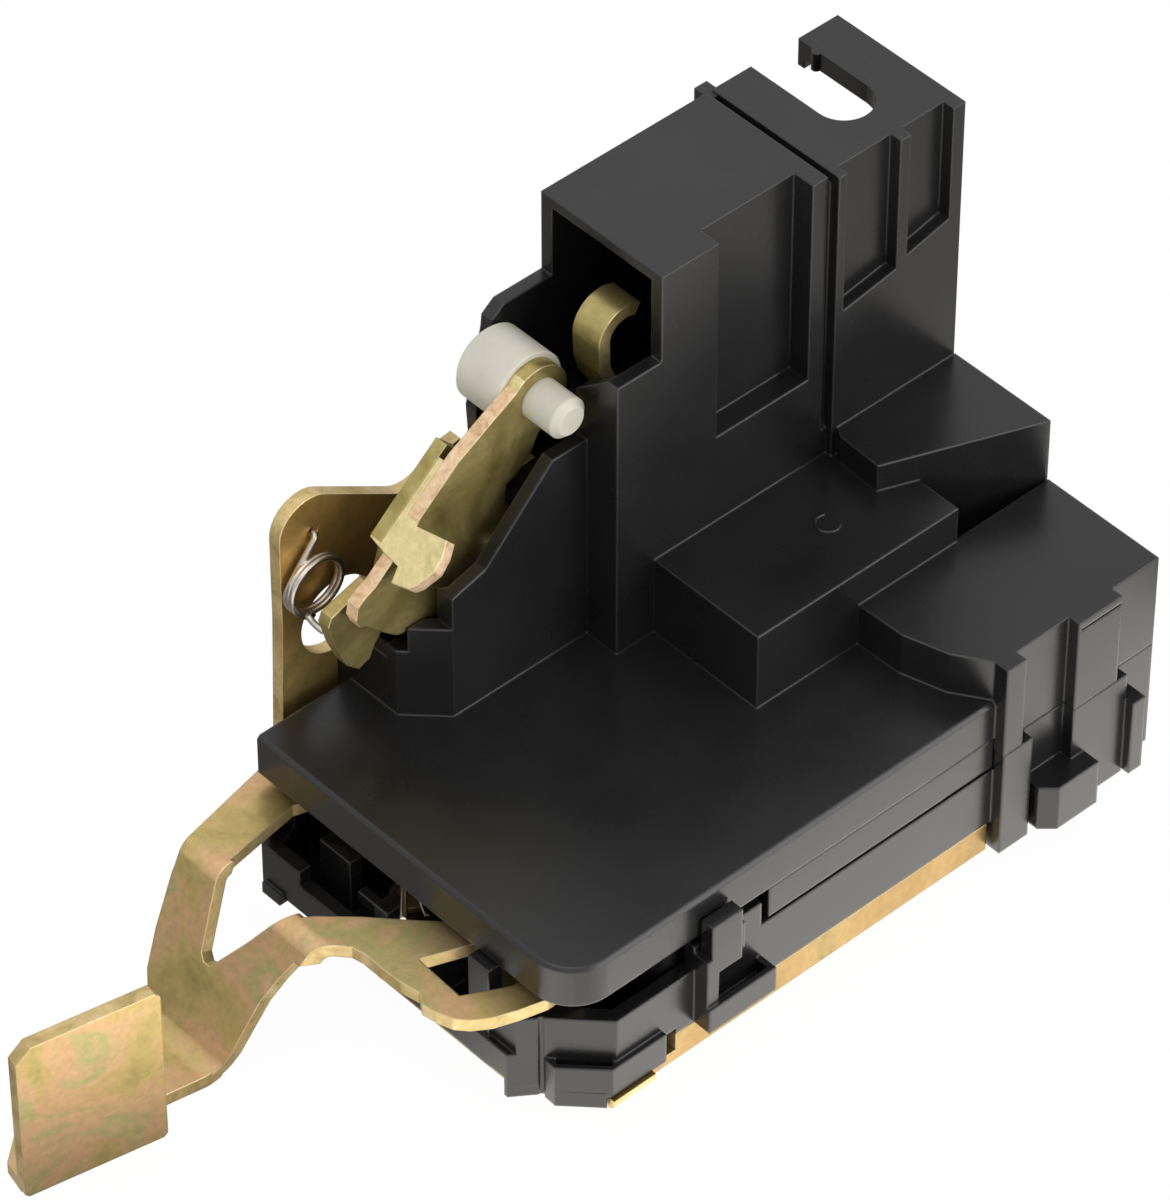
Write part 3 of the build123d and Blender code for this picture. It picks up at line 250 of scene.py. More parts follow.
# ------------------------------------------------------------------ shared effects
class Effects:
    """Node groups that several finishes share."""

    # Reach and openness keep the painted edge highlight to outer edges and off concave corners.
    edge_reach = 0.0012
    outer_openness = (0.78, 0.95)
    scuff_stretch = (1.0, 0.35, 1.0)
    scuff_gain = 9.0

    def __init__(self) -> None:
        """Build each group once."""
        self.edge_normals_and_painted_highlight = self._edge_normals_and_painted_highlight()
        self.grain = self._grain()
        self.handling = self._handling()

    def _edge_normals_and_painted_highlight(self) -> bpy.types.NodeTree:
        """Make rounded edge normals and a painted highlight mask that is one along the outer edges only.

        Returns:
            The group.
        """
        group = new_group("edge_normals_and_painted_highlight", {"Radius": 0.0004, "Sharpness": 3.0},
                          {"Mask": "NodeSocketFloat", "Normal": "NodeSocketVector"})
        start, end = ends(group)
        bevel = add_node(group, "Bevel", samples=6)
        surface = add_node(group, "NewGeometry")
        facing = add_node(group, "VectorMath", operation="DOT_PRODUCT")
        away = add_node(group, "Math", operation="SUBTRACT", use_clamp=True)
        away.inputs[0].default_value = 1.0
        strength = add_node(group, "Math", operation="MULTIPLY", use_clamp=True)
        openness = add_node(group, "AmbientOcclusion", samples=6)
        openness.inputs["Distance"].default_value = self.edge_reach
        outer = add_node(group, "MapRange", From_Min=self.outer_openness[0],
                         From_Max=self.outer_openness[1])
        kept = add_node(group, "Math", operation="MULTIPLY")
        link = group.links.new
        link(start.outputs["Radius"], bevel.inputs["Radius"])
        link(bevel.outputs["Normal"], facing.inputs[0])
        link(surface.outputs["Normal"], facing.inputs[1])
        link(facing.outputs["Value"], away.inputs[1])
        link(away.outputs[0], strength.inputs[0])
        link(start.outputs["Sharpness"], strength.inputs[1])
        link(openness.outputs["AO"], outer.inputs["Value"])
        link(strength.outputs[0], kept.inputs[0])
        link(outer.outputs["Result"], kept.inputs[1])
        link(kept.outputs[0], end.inputs["Mask"])
        link(bevel.outputs["Normal"], end.inputs["Normal"])
        return group

    def _grain(self) -> bpy.types.NodeTree:
        """Make fine spark-eroded grain: a height and a soft patchy value.

        Returns:
            The group.
        """
        group = new_group("moulded_grain", {"Scale": 2600.0, "Patch Scale": 60.0},
                          {"Height": "NodeSocketFloat", "Patch": "NodeSocketFloat"})
        start, end = ends(group)
        place = add_node(group, "TexCoord")
        fine = add_node(group, "TexNoise", Detail=3.0, Roughness=0.6)
        patch = add_node(group, "TexNoise", Detail=5.0, Roughness=0.55)
        link = group.links.new
        link(place.outputs["Object"], fine.inputs["Vector"])
        link(place.outputs["Object"], patch.inputs["Vector"])
        link(start.outputs["Scale"], fine.inputs["Scale"])
        link(start.outputs["Patch Scale"], patch.inputs["Scale"])
        link(fine.outputs["Fac"], end.inputs["Height"])
        link(patch.outputs["Fac"], end.inputs["Patch"])
        return group

    def _handling(self) -> bpy.types.NodeTree:
        """Make short faint scuffs and specks left by handling.

        Returns:
            The group.
        """
        group = new_group("handling_marks", {"Scale": 500.0, "Threshold": 0.66},
                          {"Mask": "NodeSocketFloat"})
        start, end = ends(group)
        place = add_node(group, "TexCoord")
        stretch = add_node(group, "Mapping")
        stretch.inputs["Scale"].default_value = self.scuff_stretch
        specks = add_node(group, "TexNoise", Detail=6.0, Roughness=0.7)
        above = add_node(group, "Math", operation="SUBTRACT", use_clamp=True)
        lift = add_node(group, "Math", operation="MULTIPLY", use_clamp=True)
        lift.inputs[1].default_value = self.scuff_gain
        link = group.links.new
        link(place.outputs["Object"], stretch.inputs["Vector"])
        link(stretch.outputs["Vector"], specks.inputs["Vector"])
        link(start.outputs["Scale"], specks.inputs["Scale"])
        link(specks.outputs["Fac"], above.inputs[0])
        link(start.outputs["Threshold"], above.inputs[1])
        link(above.outputs[0], lift.inputs[0])
        link(lift.outputs[0], end.inputs["Mask"])
        return group


# ------------------------------------------------------------------ finishes
@dataclass(frozen=True)
class MouldedPlastic:
    """Moulded plastic with grain, patchy sheen and a painted highlight, a lighter colour along its outer
    edges.
    """

    name: str
    colour: Colour
    # Lighter colour painted along the outer edges as a highlight.
    painted_highlight_colour: Colour
    roughness: float = 0.42
    grain: Grain = Grain.FINE
    grain_depth: float = 0.00001
    edge_radius: float = 0.00045
    specular: float = 0.5
    tones: Span = (0.8, 1.2)
    roughness_spread: Span = (0.05, 0.07)
    painted_highlight_sharpness: float = 1.6
    patch_scale: float = 70.0
    mark_scale: float = 900.0
    mark_threshold: float = 0.70
    mark_gain: float = 2.6
    mark_weight: float = 0.25

    def build(self, effects: Effects) -> bpy.types.Material:
        """Build the material.

        Args:
            effects: Shared node groups.

        Returns:
            The finished material.
        """
        material, tree, shader = new_material(self.name)
        shader.inputs["Specular IOR Level"].default_value = self.specular
        edges = place_group(tree, effects.edge_normals_and_painted_highlight, Radius=self.edge_radius,
                            Sharpness=self.painted_highlight_sharpness)
        grain = place_group(tree, effects.grain, Scale=self.grain.value,
                            Patch_Scale=self.patch_scale)
        marks = place_group(tree, effects.handling, Scale=self.mark_scale,
                            Threshold=self.mark_threshold)
        tone = ramp(tree, two_tones(self.colour, self.tones))
        # Painted highlight: the colour turns lighter along the outer edges.
        with_painted_highlight = add_node(tree, "MixRGB")
        with_painted_highlight.inputs["Color2"].default_value = (*self.painted_highlight_colour, 1.0)
        marked = add_node(tree, "MixRGB")
        marked.inputs["Color2"].default_value = (*(self.mark_gain * c for c in self.colour), 1.0)
        weight = add_node(tree, "Math", operation="MULTIPLY")
        weight.inputs[1].default_value = self.mark_weight
        rough = spread_roughness(tree, self.roughness, self.roughness_spread)
        bump = add_node(tree, "Bump", Distance=self.grain_depth, Strength=1.0)
        link = tree.links.new
        link(grain.outputs["Patch"], tone.inputs["Fac"])
        link(tone.outputs["Color"], marked.inputs["Color1"])
        link(marks.outputs["Mask"], weight.inputs[0])
        link(weight.outputs[0], marked.inputs["Fac"])
        link(marked.outputs["Color"], with_painted_highlight.inputs["Color1"])
        link(edges.outputs["Mask"], with_painted_highlight.inputs["Fac"])
        link(with_painted_highlight.outputs["Color"], shader.inputs["Base Color"])
        link(grain.outputs["Patch"], rough.inputs["Value"])
        link(rough.outputs["Result"], shader.inputs["Roughness"])
        link(grain.outputs["Height"], bump.inputs["Height"])
        link(edges.outputs["Normal"], bump.inputs["Normal"])
        link(bump.outputs["Normal"], shader.inputs["Normal"])
        return material


@dataclass(frozen=True)
class PlatedSheet:
    """Yellow plated sheet steel whose tint drifts between gold, olive and pink, with a painted highlight of
    lighter colour along its outer edges.
    """

    name: str
    stops: tuple[tuple[float, Colour], ...]
    roughness: float = 0.36
    drift_scale: float = 45.0
    speck_scale: float = 900.0
    speck_depth: float = 0.000012
    metallic: float = 0.85
    shades: Span = (0.72, 1.2)
    # Light gold painted along the outer edges as a highlight.
    painted_highlight_colour: Colour = (0.95, 0.82, 0.55)
    edge_radius: float = 0.0003
    painted_highlight_sharpness: float = 1.2
    roughness_spread: Span = (0.1, 0.12)

    def build(self, effects: Effects) -> bpy.types.Material:
        """Build the material.

        Args:
            effects: Shared node groups.

        Returns:
            The finished material.
        """
        material, tree, shader = new_material(self.name)
        shader.inputs["Metallic"].default_value = self.metallic
        place = add_node(tree, "TexCoord")
        drift = add_node(tree, "TexNoise", Scale=self.drift_scale, Detail=4.0, Roughness=0.6,
                         Distortion=0.8)
        tint = ramp(tree, self.stops)
        specks = add_node(tree, "TexNoise", Scale=self.speck_scale, Detail=3.0, Roughness=0.65)
        shade = add_node(tree, "MapRange", To_Min=self.shades[0], To_Max=self.shades[1])
        shaded = add_node(tree, "VectorMath", operation="SCALE")
        edges = place_group(tree, effects.edge_normals_and_painted_highlight, Radius=self.edge_radius,
                            Sharpness=self.painted_highlight_sharpness)
        # Painted highlight: the plating turns light gold along the outer edges.
        with_painted_highlight = add_node(tree, "MixRGB")
        with_painted_highlight.inputs["Color2"].default_value = (*self.painted_highlight_colour, 1.0)
        rough = spread_roughness(tree, self.roughness, self.roughness_spread)
        bump = add_node(tree, "Bump", Distance=self.speck_depth)
        link = tree.links.new
        link(place.outputs["Object"], drift.inputs["Vector"])
        link(place.outputs["Object"], specks.inputs["Vector"])
        link(drift.outputs["Fac"], tint.inputs["Fac"])
        link(specks.outputs["Fac"], shade.inputs["Value"])
        link(tint.outputs["Color"], shaded.inputs[0])
        link(shade.outputs["Result"], shaded.inputs["Scale"])
        link(shaded.outputs["Vector"], with_painted_highlight.inputs["Color1"])
        link(edges.outputs["Mask"], with_painted_highlight.inputs["Fac"])
        link(with_painted_highlight.outputs["Color"], shader.inputs["Base Color"])
        link(drift.outputs["Fac"], rough.inputs["Value"])
        link(rough.outputs["Result"], shader.inputs["Roughness"])
        link(specks.outputs["Fac"], bump.inputs["Height"])
        link(edges.outputs["Normal"], bump.inputs["Normal"])
        link(bump.outputs["Normal"], shader.inputs["Normal"])
        return material


@dataclass(frozen=True)
class PlainMetal:
    """Bare metal with drawing marks and soft tone changes."""

    name: str
    colour: Colour
    roughness: float = 0.3
    scale: float = 300.0
    metallic: float = 1.0
    tones: Span = (0.7, 1.15)
    roughness_spread: Span = (0.08, 0.12)
    edge_radius: float = 0.0002
    painted_highlight_sharpness: float = 1.0
    grains_per_patch: float = 4
    grain_depth: float = 0.000008

    def build(self, effects: Effects) -> bpy.types.Material:
        """Build the material.

        Args:
            effects: Shared node groups.

        Returns:
            The finished material.
        """
        material, tree, shader = new_material(self.name)
        shader.inputs["Metallic"].default_value = self.metallic
        grain = place_group(tree, effects.grain, Scale=self.scale * self.grains_per_patch,
                            Patch_Scale=self.scale)
        edges = place_group(tree, effects.edge_normals_and_painted_highlight, Radius=self.edge_radius,
                            Sharpness=self.painted_highlight_sharpness)
        tone = ramp(tree, two_tones(self.colour, self.tones))
        rough = spread_roughness(tree, self.roughness, self.roughness_spread)
        bump = add_node(tree, "Bump", Distance=self.grain_depth)
        join_grain(tree, grain, edges, tone, rough, bump)
        return material


@dataclass(frozen=True)
class NaturalNylon:
    """Uncoloured nylon that lets a little light in."""

    name: str
    colour: Colour
    roughness: float = 0.38
    depth: float = 0.0022
    weight: float = 0.45
    scatter: Colour = (1.0, 0.85, 0.6)
    tones: Span = (0.9, 1.05)
    roughness_spread: Span = (0.08, 0.1)
    edge_radius: float = 0.0003
    painted_highlight_sharpness: float = 1.0
    grain_scale: float = 1500.0
    patch_scale: float = 160.0
    grain_depth: float = 0.000012

    def build(self, effects: Effects) -> bpy.types.Material:
        """Build the material.

        Args:
            effects: Shared node groups.

        Returns:
            The finished material.
        """
        material, tree, shader = new_material(self.name)
        shader.inputs["Subsurface Weight"].default_value = self.weight
        shader.inputs["Subsurface Radius"].default_value = self.scatter
        shader.inputs["Subsurface Scale"].default_value = self.depth
        grain = place_group(tree, effects.grain, Scale=self.grain_scale,
                            Patch_Scale=self.patch_scale)
        edges = place_group(tree, effects.edge_normals_and_painted_highlight, Radius=self.edge_radius,
                            Sharpness=self.painted_highlight_sharpness)
        tone = ramp(tree, two_tones(self.colour, self.tones))
        rough = spread_roughness(tree, self.roughness, self.roughness_spread)
        bump = add_node(tree, "Bump", Distance=self.grain_depth)
        join_grain(tree, grain, edges, tone, rough, bump)
        return material


Finish = MouldedPlastic | PlatedSheet | PlainMetal | NaturalNylon

# The second colour of each moulded finish is the painted highlight along its outer edges.
BLACK_SHELL = MouldedPlastic("black_moulded_shell", (0.0075, 0.0075, 0.0078), (0.07, 0.07, 0.071),
                             roughness=0.27, edge_radius=0.0005)
BLACK_ROOF = MouldedPlastic("black_grained_roof", (0.014, 0.014, 0.0145), (0.04, 0.04, 0.041),
                            roughness=0.5, grain=Grain.COARSE, grain_depth=0.00004)
BLACK_INNER = MouldedPlastic("black_inner_plastic", (0.008, 0.008, 0.008), (0.03, 0.03, 0.03),
                             roughness=0.45)
GOLD_PLATING = PlatedSheet("yellow_plated_sheet", (
    (0.28, (0.36, 0.29, 0.10)), (0.42, (0.55, 0.42, 0.16)), (0.52, (0.67, 0.42, 0.23)),
    (0.60, (0.47, 0.43, 0.18)), (0.72, (0.70, 0.45, 0.27))), drift_scale=60.0)
AMBER_PLATING = PlatedSheet("amber_plated_sheet", (
    (0.30, (0.42, 0.26, 0.07)), (0.45, (0.58, 0.37, 0.11)), (0.60, (0.72, 0.46, 0.15)),
    (0.72, (0.46, 0.36, 0.12))), roughness=0.34)
# A darker copy of the bracket's plating for its foot: painted shade, the real sheet having one plating all
# over.
PAINTED_SHADE_AMBER = PlatedSheet("amber_plating_painted_shade", (
    (0.30, (0.24, 0.15, 0.04)), (0.45, (0.33, 0.21, 0.07)), (0.60, (0.40, 0.27, 0.10)),
    (0.72, (0.26, 0.20, 0.07))), roughness=0.36)
OLIVE_PLATING = PlatedSheet("olive_plated_sheet", (
    (0.30, (0.24, 0.19, 0.06)), (0.45, (0.36, 0.29, 0.10)), (0.58, (0.46, 0.38, 0.15)),
    (0.72, (0.38, 0.26, 0.10))), roughness=0.36, drift_scale=80.0)
CUT_EDGE = PlatedSheet("sheared_sheet_edge", (
    (0.30, (0.50, 0.31, 0.15)), (0.50, (0.70, 0.50, 0.30)), (0.70, (0.80, 0.62, 0.40))),
    roughness=0.5, drift_scale=480.0, speck_scale=1600.0, speck_depth=0.00001, metallic=0.45)
# A brighter copy of the swing lever's plating for its upward faces: painted light where the lamps fall on
# them.
PAINTED_LIGHT_PLATING = PlatedSheet("plated_bridge_painted_light", (
    (0.30, (0.50, 0.42, 0.16)), (0.50, (0.78, 0.66, 0.34)), (0.70, (0.70, 0.54, 0.27))),
    drift_scale=90.0)
GOLD_EDGE = PlatedSheet("plated_sheet_edge", (
    (0.30, (0.40, 0.29, 0.11)), (0.50, (0.62, 0.47, 0.21)), (0.70, (0.76, 0.60, 0.33))),
    roughness=0.42, drift_scale=160.0, speck_scale=1600.0, speck_depth=0.00001, metallic=0.7)
BRIGHT_STEEL = PlainMetal("bright_drawn_steel", (0.60, 0.60, 0.60))
SPRING_STEEL = PlainMetal("spring_steel_wire", (0.52, 0.48, 0.43), roughness=0.28)
TURNED_BRASS = PlainMetal("turned_brass", (0.72, 0.54, 0.24))
DARK_IRON = PlainMetal("dark_sintered_iron", (0.14, 0.13, 0.13), roughness=0.5, metallic=0.8)
PALE_NYLON = NaturalNylon("natural_nylon", (0.52, 0.505, 0.43))
BOARD_GREEN = MouldedPlastic("coated_board", (0.02, 0.11, 0.05), (0.12, 0.2, 0.12),
                             roughness=0.35, grain=Grain.COARSE)


class Paintbox:
    """Builds each finish once and hands it out."""

    def __init__(self) -> None:
        """Start with the shared effects and no materials."""
        self.effects = Effects()
        self.made: dict[str, bpy.types.Material] = {}

    def get(self, finish: Finish) -> bpy.types.Material:
        """Return a finish's material, building it the first time.

        Args:
            finish: The finish.

        Returns:
            Its material.
        """
        if finish.name not in self.made:
            self.made[finish.name] = finish.build(self.effects)
        return self.made[finish.name]

    def dress(self, piece: bpy.types.Object, *finishes: Finish) -> None:
        """Give a piece its materials, the first one all over.

        Args:
            piece: The piece to dress.
            finishes: Finish of each material slot.
        """
        piece.data.materials.clear()
        for finish in finishes:
            piece.data.materials.append(self.get(finish))
        for polygon in piece.data.polygons:
            polygon.material_index = 0


# ------------------------------------------------------------------ mesh helpers
def wire(name: str, path: Iterable[Point], radius: float) -> bpy.types.Object:
    """Make a round wire through points as a mesh.

    Args:
        name: Name of the piece.
        path: Points in millimetres.
        radius: Wire radius in millimetres.

    Returns:
        The wire as a mesh object.
    """
    points = [Vector(p) for p in path]
    curve = bpy.data.curves.new(name + "_path", "CURVE")
    curve.dimensions = "3D"
    curve.bevel_depth = radius * MM
    curve.bevel_resolution = 4
    curve.resolution_u = 6
    curve.use_fill_caps = True
    spline = curve.splines.new("NURBS")
    spline.points.add(len(points) - 1)
    for slot, point in zip(spline.points, points):
        slot.co = (*(point * MM), 1.0)
    spline.order_u = 3
    spline.use_endpoint_u = True
    carrier = bpy.data.objects.new(name + "_carrier", curve)
    bpy.context.scene.collection.objects.link(carrier)
    bpy.context.view_layer.update()
    mesh = bpy.data.meshes.new_from_object(carrier)
    mesh.name = name
    bpy.data.objects.remove(carrier)
    piece = bpy.data.objects.new(name, mesh)
    bpy.context.scene.collection.objects.link(piece)
    for polygon in mesh.polygons:
        polygon.use_smooth = True
    return piece


def winding(centre: Point, radius: float, axis: Axis, low: float, high: float, start: float,
            turns: float) -> list[Point]:
    """Points of a coil about an axis.

    Args:
        centre: A point on the axis, in millimetres.
        radius: Coil radius.
        axis: Axis that the coil is wound about.
        low: First place along the axis.
        high: Last place along the axis.
        start: Start angle in degrees.
        turns: Number of turns, negative to wind the other way.

    Returns:
        Points, POINTS_PER_TURN to a turn.
    """
    count = max(2, round(abs(turns) * POINTS_PER_TURN))
    points = []
    for step in range(count + 1):
        share = step / count
        angle = math.radians(start + 360 * turns * share)
        along = low + (high - low) * share
        first, second = radius * math.cos(angle), radius * math.sin(angle)
        if axis is Axis.ALONG_X:
            points.append((along, centre[1] + first, centre[2] + second))
        else:
            points.append((centre[0] + first, centre[1] + second, along))
    return points


# ------------------------------------------------------------------ sub-assemblies
@dataclass
class Shell:
    """Top cover, middle frame and lower housing."""

    nodes: dict[str, bpy.types.Object]
    mark_centre: Point = (0.4, 22.7, 39.8)
    mark_radius: float = 1.7
    mark_wire: float = 0.22
    mark_start: int = 150
    mark_step: int = 12
    mark_points: int = 22
    grained_above: float = 80.0

    def dress(self, paints: Paintbox) -> None:
        """Give the mouldings their black finish, with coarser grain on the tower's roof.

        Args:
            paints: The finishes.
        """
        for name in ("top_cover", "lower_housing", "middle_frame"):
            paints.dress(self.nodes[name], BLACK_SHELL, BLACK_ROOF)
        for polygon in self.nodes["top_cover"].data.polygons:
            if polygon.normal.z > FACING and polygon.center.z > self.grained_above * MM:
                polygon.material_index = GRAINED

    def build_gate_mark(self, paints: Paintbox) -> None:
        """Lay the raised arc left by the mould's gate on the block's top.

        Args:
            paints: The finishes.
        """
        x, y, z = self.mark_centre
        arc = [(x + self.mark_radius * math.cos(a), y + self.mark_radius * math.sin(a), z)
               for a in (math.radians(self.mark_start + self.mark_step * step)
                         for step in range(self.mark_points))]
        piece = wire("gate_mark", arc, self.mark_wire)
        paints.dress(piece, BLACK_SHELL)
        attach(piece, "housing")


@dataclass(frozen=True)
class Flat:
    """A flat run of sheet: a point on one face, that face's normal and the gauge behind it."""

    place: Point
    normal: Point
    gauge: float = 2.0

    def carries(self, centre: Vector, normal: Vector) -> bool:
        """Tell whether a polygon lies on one of the run's two faces.

        Args:
            centre: The polygon's centre in metres.
            normal: The polygon's normal.

        Returns:
            True where it does.
        """
        facing = Vector(self.normal).normalized()
        depth = (centre / MM - Vector(self.place)).dot(facing)
        return (abs(normal.dot(facing)) > FACE_MATCH
                and min(abs(depth), abs(depth + self.gauge)) < FLAT_SLACK)


@dataclass(frozen=True)
class Bend:
    """A bend about an axis along X: its centre in y and z, and its two radii."""

    y: float
    z: float
    radii: tuple[float, ...] = (3.0, 5.0)

    def carries(self, centre: Vector, normal: Vector) -> bool:
        """Tell whether a polygon lies on one of the bend's two faces.

        Args:
            centre: The polygon's centre in metres.
            normal: The polygon's normal.

        Returns:
            True where it does.
        """
        reach = math.hypot(centre.y / MM - self.y, centre.z / MM - self.z)
        return abs(normal.x) < 0.1 and min(abs(reach - radius) for radius in self.radii) < BEND_SLACK


@dataclass
class SheetPieces:
    """Folded and rolled pieces of plated sheet."""

    nodes: dict[str, bpy.types.Object]
    lever_slope: float = 63.0
    lever_bend: Span = (-64.0, 18.4)
    lever_foot: Span = (-75.0, -3.2)
    pad_corner: Point = (-7.7, -85.3, 0.0)
    pad_turn: float = 11.1
    swing_slope: float = 40.6
    bridge_place: Point = (0.0, -13.5, 73.66)
    sheared_right_of: float = -22.4
    sheared_before: float = -14.0
    # Height in millimetres below which the bracket's plated faces get painted shade.
    painted_shade_below: float = 6.0
    # Upward lean of a face's normal above which the swing lever's plating gets painted light.
    painted_light_lean: float = 0.6
    base_gauge: float = 1.8
    plate_face: float = -32.6
    lip_face: float = 30.0
    collar_top: float = 4.0
    sheet: float = 2.0
    bend_inner: float = 3.0
    web_faces: Span = (-20.0, -23.0)

    def bracket_runs(self) -> list[Flat | Bend]:
        """Runs of the bracket: base plate, upright latch plate, side lip and collar tops."""
        return [Flat((0, 0, self.base_gauge), (0, 0, 1), self.base_gauge),
                Flat((self.plate_face, 0, 0), (1, 0, 0)),
                Flat((self.lip_face, 0, 0), (1, 0, 0), self.base_gauge),
                Flat((0, 0, self.collar_top), (0, 0, 1))]

    def lever_runs(self) -> list[Flat | Bend]:
        """Runs of the release lever: top, slope, foot, pad and the two bends between.

        Returns:
            The runs.
        """
        slope, turn = math.radians(self.lever_slope), math.radians(self.pad_turn)
        bend_y, top = self.lever_bend
        foot_y, foot = self.lever_foot
        inner, outer = self.bend_inner, self.bend_inner + self.sheet
        rise = inner * math.tan(slope / 2)
        return [Flat((0, 0, top), (0, 0, 1)), Flat((0, 0, foot), (0, 0, 1)),
                Flat((0, bend_y, top), (0, -math.sin(slope), math.cos(slope))),
                Flat(self.pad_corner, (math.cos(turn), -math.sin(turn), 0)),
                Bend(bend_y + rise, top - inner), Bend(bend_y + rise, top - outer),
                Bend(foot_y - rise, foot + inner), Bend(foot_y - rise, foot + inner - self.sheet)]

    def swing_runs(self) -> list[Flat | Bend]:
        """Runs of the swing lever: two webs and the bridge between them."""
        slope = math.radians(self.swing_slope)
        return [Flat((self.web_faces[0], 0, 0), (1, 0, 0)), Flat((self.web_faces[1], 0, 0), (1, 0, 0)),
                Flat(self.bridge_place, (0, -math.sin(slope), math.cos(slope)))]

    def dress(self, paints: Paintbox) -> None:
        """Plate the faces, leave the cut edges sheared, paint shade on the bracket's foot and paint light on
        the swing lever's upward faces.

        Args:
            paints: The finishes.
        """
        plans = {"steel_bracket": (AMBER_PLATING, GOLD_EDGE, self.bracket_runs()),
                 "release_lever": (GOLD_PLATING, GOLD_EDGE, self.lever_runs()),
                 "swing_lever": (OLIVE_PLATING, CUT_EDGE, self.swing_runs())}
        for name, (finish, edge, runs) in plans.items():
            piece = self.nodes[name]
            paints.dress(piece, finish, edge)
            for polygon in piece.data.polygons:
                plated = any(run.carries(polygon.center, polygon.normal) for run in runs)
                polygon.material_index = PLATED if plated else EDGE
        bracket = self.nodes["steel_bracket"]
        # Painted shade: the bracket's plated faces low down at its foot take a darker copy of its plating.
        bracket.data.materials.append(paints.get(PAINTED_SHADE_AMBER))
        for polygon in bracket.data.polygons:
            if polygon.material_index == PLATED and polygon.center.z < self.painted_shade_below * MM:
                polygon.material_index = PAINTED_SHADE_AND_LIGHT
        # Painted light: the swing lever's upward plated faces take a brighter copy of its plating.
        self.nodes["swing_lever"].data.materials.append(paints.get(PAINTED_LIGHT_PLATING))
        for polygon in self.nodes["swing_lever"].data.polygons:
            if polygon.normal.z > self.painted_light_lean and polygon.material_index == PLATED:
                polygon.material_index = PAINTED_SHADE_AND_LIGHT
            elif polygon.center.x < self.sheared_right_of * MM or polygon.center.y > self.sheared_before * MM:
                polygon.material_index = 0
        hook = self.nodes["lock_lever"]
        paints.dress(hook, OLIVE_PLATING, GOLD_EDGE)
        for polygon in hook.data.polygons:
            polygon.material_index = EDGE if abs(polygon.normal.x) > FACING else PLATED
        for index in (1, 2, 3):
            paints.dress(self.nodes[f"bracket_rivet_{index}"], OLIVE_PLATING)


@dataclass
class Springs:
    """Toggle spring by the upright plate and return spring of the release lever."""

    wire_radius: float = 0.45
    toggle_centre: Point = (0.0, -38.6, 46.1)
    toggle_radius: float = 4.4
    return_centre: Point = (-14.5, -35.5, 0.0)
    return_radius: float = 3.2
    toggle_lead: tuple[Point, ...] = ((-35.0, -37.3, 53.5), (-33.4, -37.3, 53.5),
                                      (-31.8, -37.4, 53.4), (-31.7, -38.4, 52.4))
    toggle_tail: tuple[Point, ...] = ((-29.4, -41.6, 44.0), (-27.6, -41.3, 42.7), (-26.6, -41.0, 42.4))
    toggle_bend: tuple[Point, Point] = ((-30.6, -40.6, 44.4), (-27.2, -41.0, 42.4))
    return_lead: tuple[Point, ...] = ((-4.0, -44.0, 9.0), (-9.0, -41.6, 9.5), (-13.4, -39.0, 9.8))
    return_tail: tuple[Point, ...] = ((-16.4, -37.8, 13.6), (-13.0, -39.6, 13.8),
                                      (-6.0, -46.0, 14.8), (-1.0, -50.6, 15.5))

    def build_toggle(self, paints: Paintbox) -> None:
        """Wind the toggle spring from the plate's hole to the swing lever's fork.

        Args:
            paints: The finishes.
        """
        coil = winding(self.toggle_centre, self.toggle_radius, Axis.ALONG_X,
                       low=-31.7, high=-30.2, start=170.0, turns=2.25)
        path = [*self.toggle_lead, *coil, *self.toggle_tail]
        piece = wire("toggle_spring_wire", path, self.wire_radius)
        paints.dress(piece, SPRING_STEEL)
        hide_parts("toggle_spring")
        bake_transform(piece)

    def build_return(self, paints: Paintbox) -> None:
        """Wind the release lever's return spring on its peg.

        Args:
            paints: The finishes.
        """
        coil = winding(self.return_centre, self.return_radius, Axis.ALONG_Z,
                       low=9.8, high=13.4, start=270.0, turns=3.75)
        path = [*self.return_lead, *coil, *self.return_tail]
        piece = wire("return_spring_wire", path, self.wire_radius)
        paints.dress(piece, SPRING_STEEL)
        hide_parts("release_lever_spring")
        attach(piece, "housing")


@dataclass
class Drive:
    """Motor, worm, wheel, slider, pins and small fixings."""

    nodes: dict[str, bpy.types.Object]

    def dress(self, paints: Paintbox) -> None:
        """Give each inner piece its finish.

        Args:
            paints: The finishes.
        """
        finishes = {
            PALE_NYLON: ("rod_bush", "worm_wheel", "lock_slider", "switch_plunger_1", "switch_plunger_2"),
            BRIGHT_STEEL: ("release_lever_pin", "swing_lever_pin", "lock_lever_pin", "wheel_axle",
                           "motor_can", "motor_shaft") + tuple(f"housing_screw_{i}" for i in range(1, 7)),
            TURNED_BRASS: ("worm", "worm_tail_bearing") + tuple(f"terminal_{i}" for i in range(1, 6)),
            DARK_IRON: ("motor_magnet_left", "motor_magnet_right", "motor_armature"),
            BLACK_INNER: ("motor_end_cap", "switch_body_1", "switch_body_2"),
            BOARD_GREEN: ("circuit_board",),
        }
        for finish, names in finishes.items():
            for name in names:
                paints.dress(self.nodes[name], finish)


